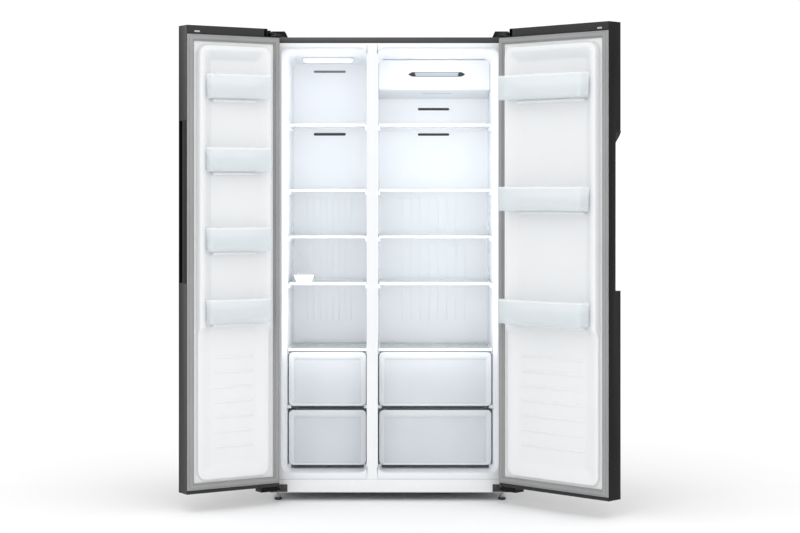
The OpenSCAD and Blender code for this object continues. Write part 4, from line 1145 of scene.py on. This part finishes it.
class FRIDGE_OT_machine_room(bpy.types.Operator):
    """Louvred rear cover with its gland, compressor, condenser, fans, evaporator and tray"""
    bl_idname = "fridge.machine_room"
    bl_label = "Machine room"

    def execute(self, context):
        look = palette()

        def louvres(bm):
            low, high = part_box("machine_room_cover")
            for z0 in (0.08, 0.13, 0.18):
                for k in range(31):
                    x = -0.39 + k * 0.026
                    rounded_block(bm, (x + 0.0035, high.y - 0.001, z0 + 0.002),
                                  (x + 0.0052, high.y + 0.0022, z0 + 0.032), 0.0007, 2)
            for x in (low.x + 0.02, -0.15, 0.15, high.x - 0.02):
                for z in (low.z + 0.014, high.z - 0.01):
                    screw(bm, (x, high.y, z), "+Y", 0.004, 1)
        softened("machine_room_cover", "machine_room_louvres", "cabinet",
                 [look["zinc"], look["screw"]], 0.0004, 1, extra=louvres)
        low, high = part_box("compressor")
        x, y = (low.x + high.x) / 2, (low.y + high.y) / 2
        bm = bmesh.new()
        turned(bm, [(0.03, 0.06), (0.058, 0.063), (0.07, 0.074), (0.074, 0.09), (0.074, 0.118),
                    (0.0765, 0.12), (0.0765, 0.124), (0.074, 0.126), (0.0735, 0.16),
                    (0.07, 0.178), (0.06, 0.19), (0.042, 0.1965), (0.0, 0.198)][:-1],
               (x, y, 0), "Z", 64)
        rounded_block(bm, (low.x, low.y, 0.058), (high.x, high.y, 0.0622), 0.002, 2)
        for dx in (-0.062, 0.062):
            for dy in (-0.046, 0.046):
                turned(bm, [(0.008, low.z), (0.009, low.z + 0.002), (0.0078, 0.051),
                            (0.009, 0.058), (0.007, 0.0665), (0.003, 0.067)],
                       (x + dx, y + dy, 0), "Z", 24, 1)
        rounded_block(bm, (x + 0.048, y - 0.03, 0.1), (x + 0.0775, y + 0.03, 0.15), 0.006, 3, 1)
        piece("compressor_pot", bm, "cabinet", [look["pot"], look["rubber"]], ["compressor"])
        softened("drip_tray", "drip_tray_moulded", "cabinet", [look["tray"]], 0.0012,
                 3)
        for node, finish_name in (("condenser", "pot"), ("evaporator", "fin"),
                                  ("fan_motors", "tray"), ("evaporator_fan", "tray"),
                                  ("condenser_fan", "tray"), ("cabinet_foam", "foam")):
            thing = frame["nodes"][node]
            thing.data.materials.clear()
            thing.data.materials.append(look[finish_name])
        return {"FINISHED"}


# ---------------------------------------------------------------- stage

class FRIDGE_OT_stage(bpy.types.Operator):
    """Pale floor, soft studio lights and the camera"""
    bl_idname = "fridge.stage"
    bl_label = "Stage"

    def lamp(self, name, place, aim, size, power, tint=(1, 1, 1)):
        light = bpy.data.lights.new(name, "AREA")
        light.shape, light.size, light.size_y = "RECTANGLE", size[0], size[1]
        light.energy, light.color = power, tint
        holder = bpy.data.objects.new(name, light)
        holder.location = place
        holder.rotation_euler = (Vector(aim) - Vector(place)).to_track_quat("-Z", "Y").to_euler()
        bpy.context.scene.collection.objects.link(holder)
        return holder

    def execute(self, context):
        scene = context.scene
        bm = bmesh.new()
        reach = 30.0
        loft(bm, [[(-reach, -reach, 0), (reach, -reach, 0)],
                  [(-reach, reach, 0), (reach, reach, 0)]], closed=False)
        mesh = bpy.data.meshes.new("studio_floor")
        bm.to_mesh(mesh)
        bm.free()
        floor = bpy.data.objects.new("studio_floor", mesh)
        scene.collection.objects.link(floor)
        mesh.materials.append(finish("studio_floor_white", (0.99, 0.99, 0.99), 0.7,
                                     cloud=0.004, specular=0.1, grain=0.01, grain_lift=0.001))
        world = bpy.data.worlds.new("studio_light")
        world.use_nodes = True
        world.node_tree.nodes["Background"].inputs["Color"].default_value = (1, 1, 1, 1)
        world.node_tree.nodes["Background"].inputs["Strength"].default_value = 1.06
        scene.world = world
        self.lamp("key_softbox", (-1.6, -4.4, 4.2), (0, 0, 1.1), (3.0, 2.4), 22)
        self.lamp("fill_softbox", (2.4, -4.8, 2.6), (0, 0, 1.0), (2.4, 2.4), 12)
        for side in ("freezer", "fridge"):
            low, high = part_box(f"{side}_lamp_cover")
            mid = (low + high) / 2
            self.lamp(f"{side}_inner_light", (mid.x, low.y - 0.01, low.z - 0.006),
                      (mid.x, low.y + 0.05, 0.2), (0.2, 0.04), 0.05, (0.96, 0.98, 1.0))
            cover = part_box(f"{side}_drawer_cover")[1].z
            left, right = (corner.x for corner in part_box(f"{side}_duct_cover"))
            centre, top = (left + right) / 2, low.z - 0.03
            self.lamp(f"{side}_bounce_light", (centre, FLANGE + 0.004, (cover + top) / 2),
                      (centre, 0.3, (cover + top) / 2), (right - left, top - cover),
                      (5.4 if side == "freezer" else 4.6) * (right - left), (0.98, 0.99, 1.0))
        lens = bpy.data.cameras.new("studio_camera")
        lens.lens, lens.sensor_width = 86.03, 36.0
        lens.shift_y = -0.0938
        lens.clip_end = 100.0
        camera = bpy.data.objects.new("studio_camera", lens)
        camera.location = (0.0382, FLANGE - 7.281, 1.178)
        camera.rotation_euler = (math.radians(90), 0, 0)
        scene.collection.objects.link(camera)
        scene.camera = camera
        scene.view_settings.view_transform = "Standard"
        scene.view_settings.look = "None"
        return {"FINISHED"}


OPERATORS = (FRIDGE_OT_case, FRIDGE_OT_liners, FRIDGE_OT_air_ducts, FRIDGE_OT_lamps,
             FRIDGE_OT_shelves, FRIDGE_OT_drawers, FRIDGE_OT_ice_tray, FRIDGE_OT_door_shells,
             FRIDGE_OT_door_liners, FRIDGE_OT_gaskets, FRIDGE_OT_grips, FRIDGE_OT_bins,
             FRIDGE_OT_hinges, FRIDGE_OT_feet, FRIDGE_OT_machine_room, FRIDGE_OT_stage)
GROUPS = (("fridge_cabinet_sizes", CabinetSizes), ("fridge_door_sizes", DoorSizes),
          ("fridge_finishes", Finishes))


class FRIDGE_PT_panel(bpy.types.Panel):
    """Sizes, colours and build steps of the refrigerator"""
    bl_label = "Refrigerator"
    bl_idname = "FRIDGE_PT_panel"
    bl_space_type = "VIEW_3D"
    bl_region_type = "UI"
    bl_category = "Refrigerator"

    def draw(self, context):
        for name, group in GROUPS:
            column = self.layout.column(heading=group.__name__)
            for key in group.__annotations__:
                column.prop(getattr(context.scene, name), key)
        for operator in OPERATORS:
            self.layout.operator(operator.bl_idname)


def register():
    for name, group in GROUPS:
        bpy.utils.register_class(group)
        setattr(bpy.types.Scene, name, PointerProperty(type=group))
    for kind in (*OPERATORS, FRIDGE_PT_panel):
        bpy.utils.register_class(kind)


def unregister():
    for kind in (FRIDGE_PT_panel, *reversed(OPERATORS)):
        bpy.utils.unregister_class(kind)
    for name, group in reversed(GROUPS):
        delattr(bpy.types.Scene, name)
        bpy.utils.unregister_class(group)


def main():
    register()
    for operator in OPERATORS:
        family, action = operator.bl_idname.split(".")
        getattr(getattr(bpy.ops, family), action)()


if __name__ == "__main__":
    main()
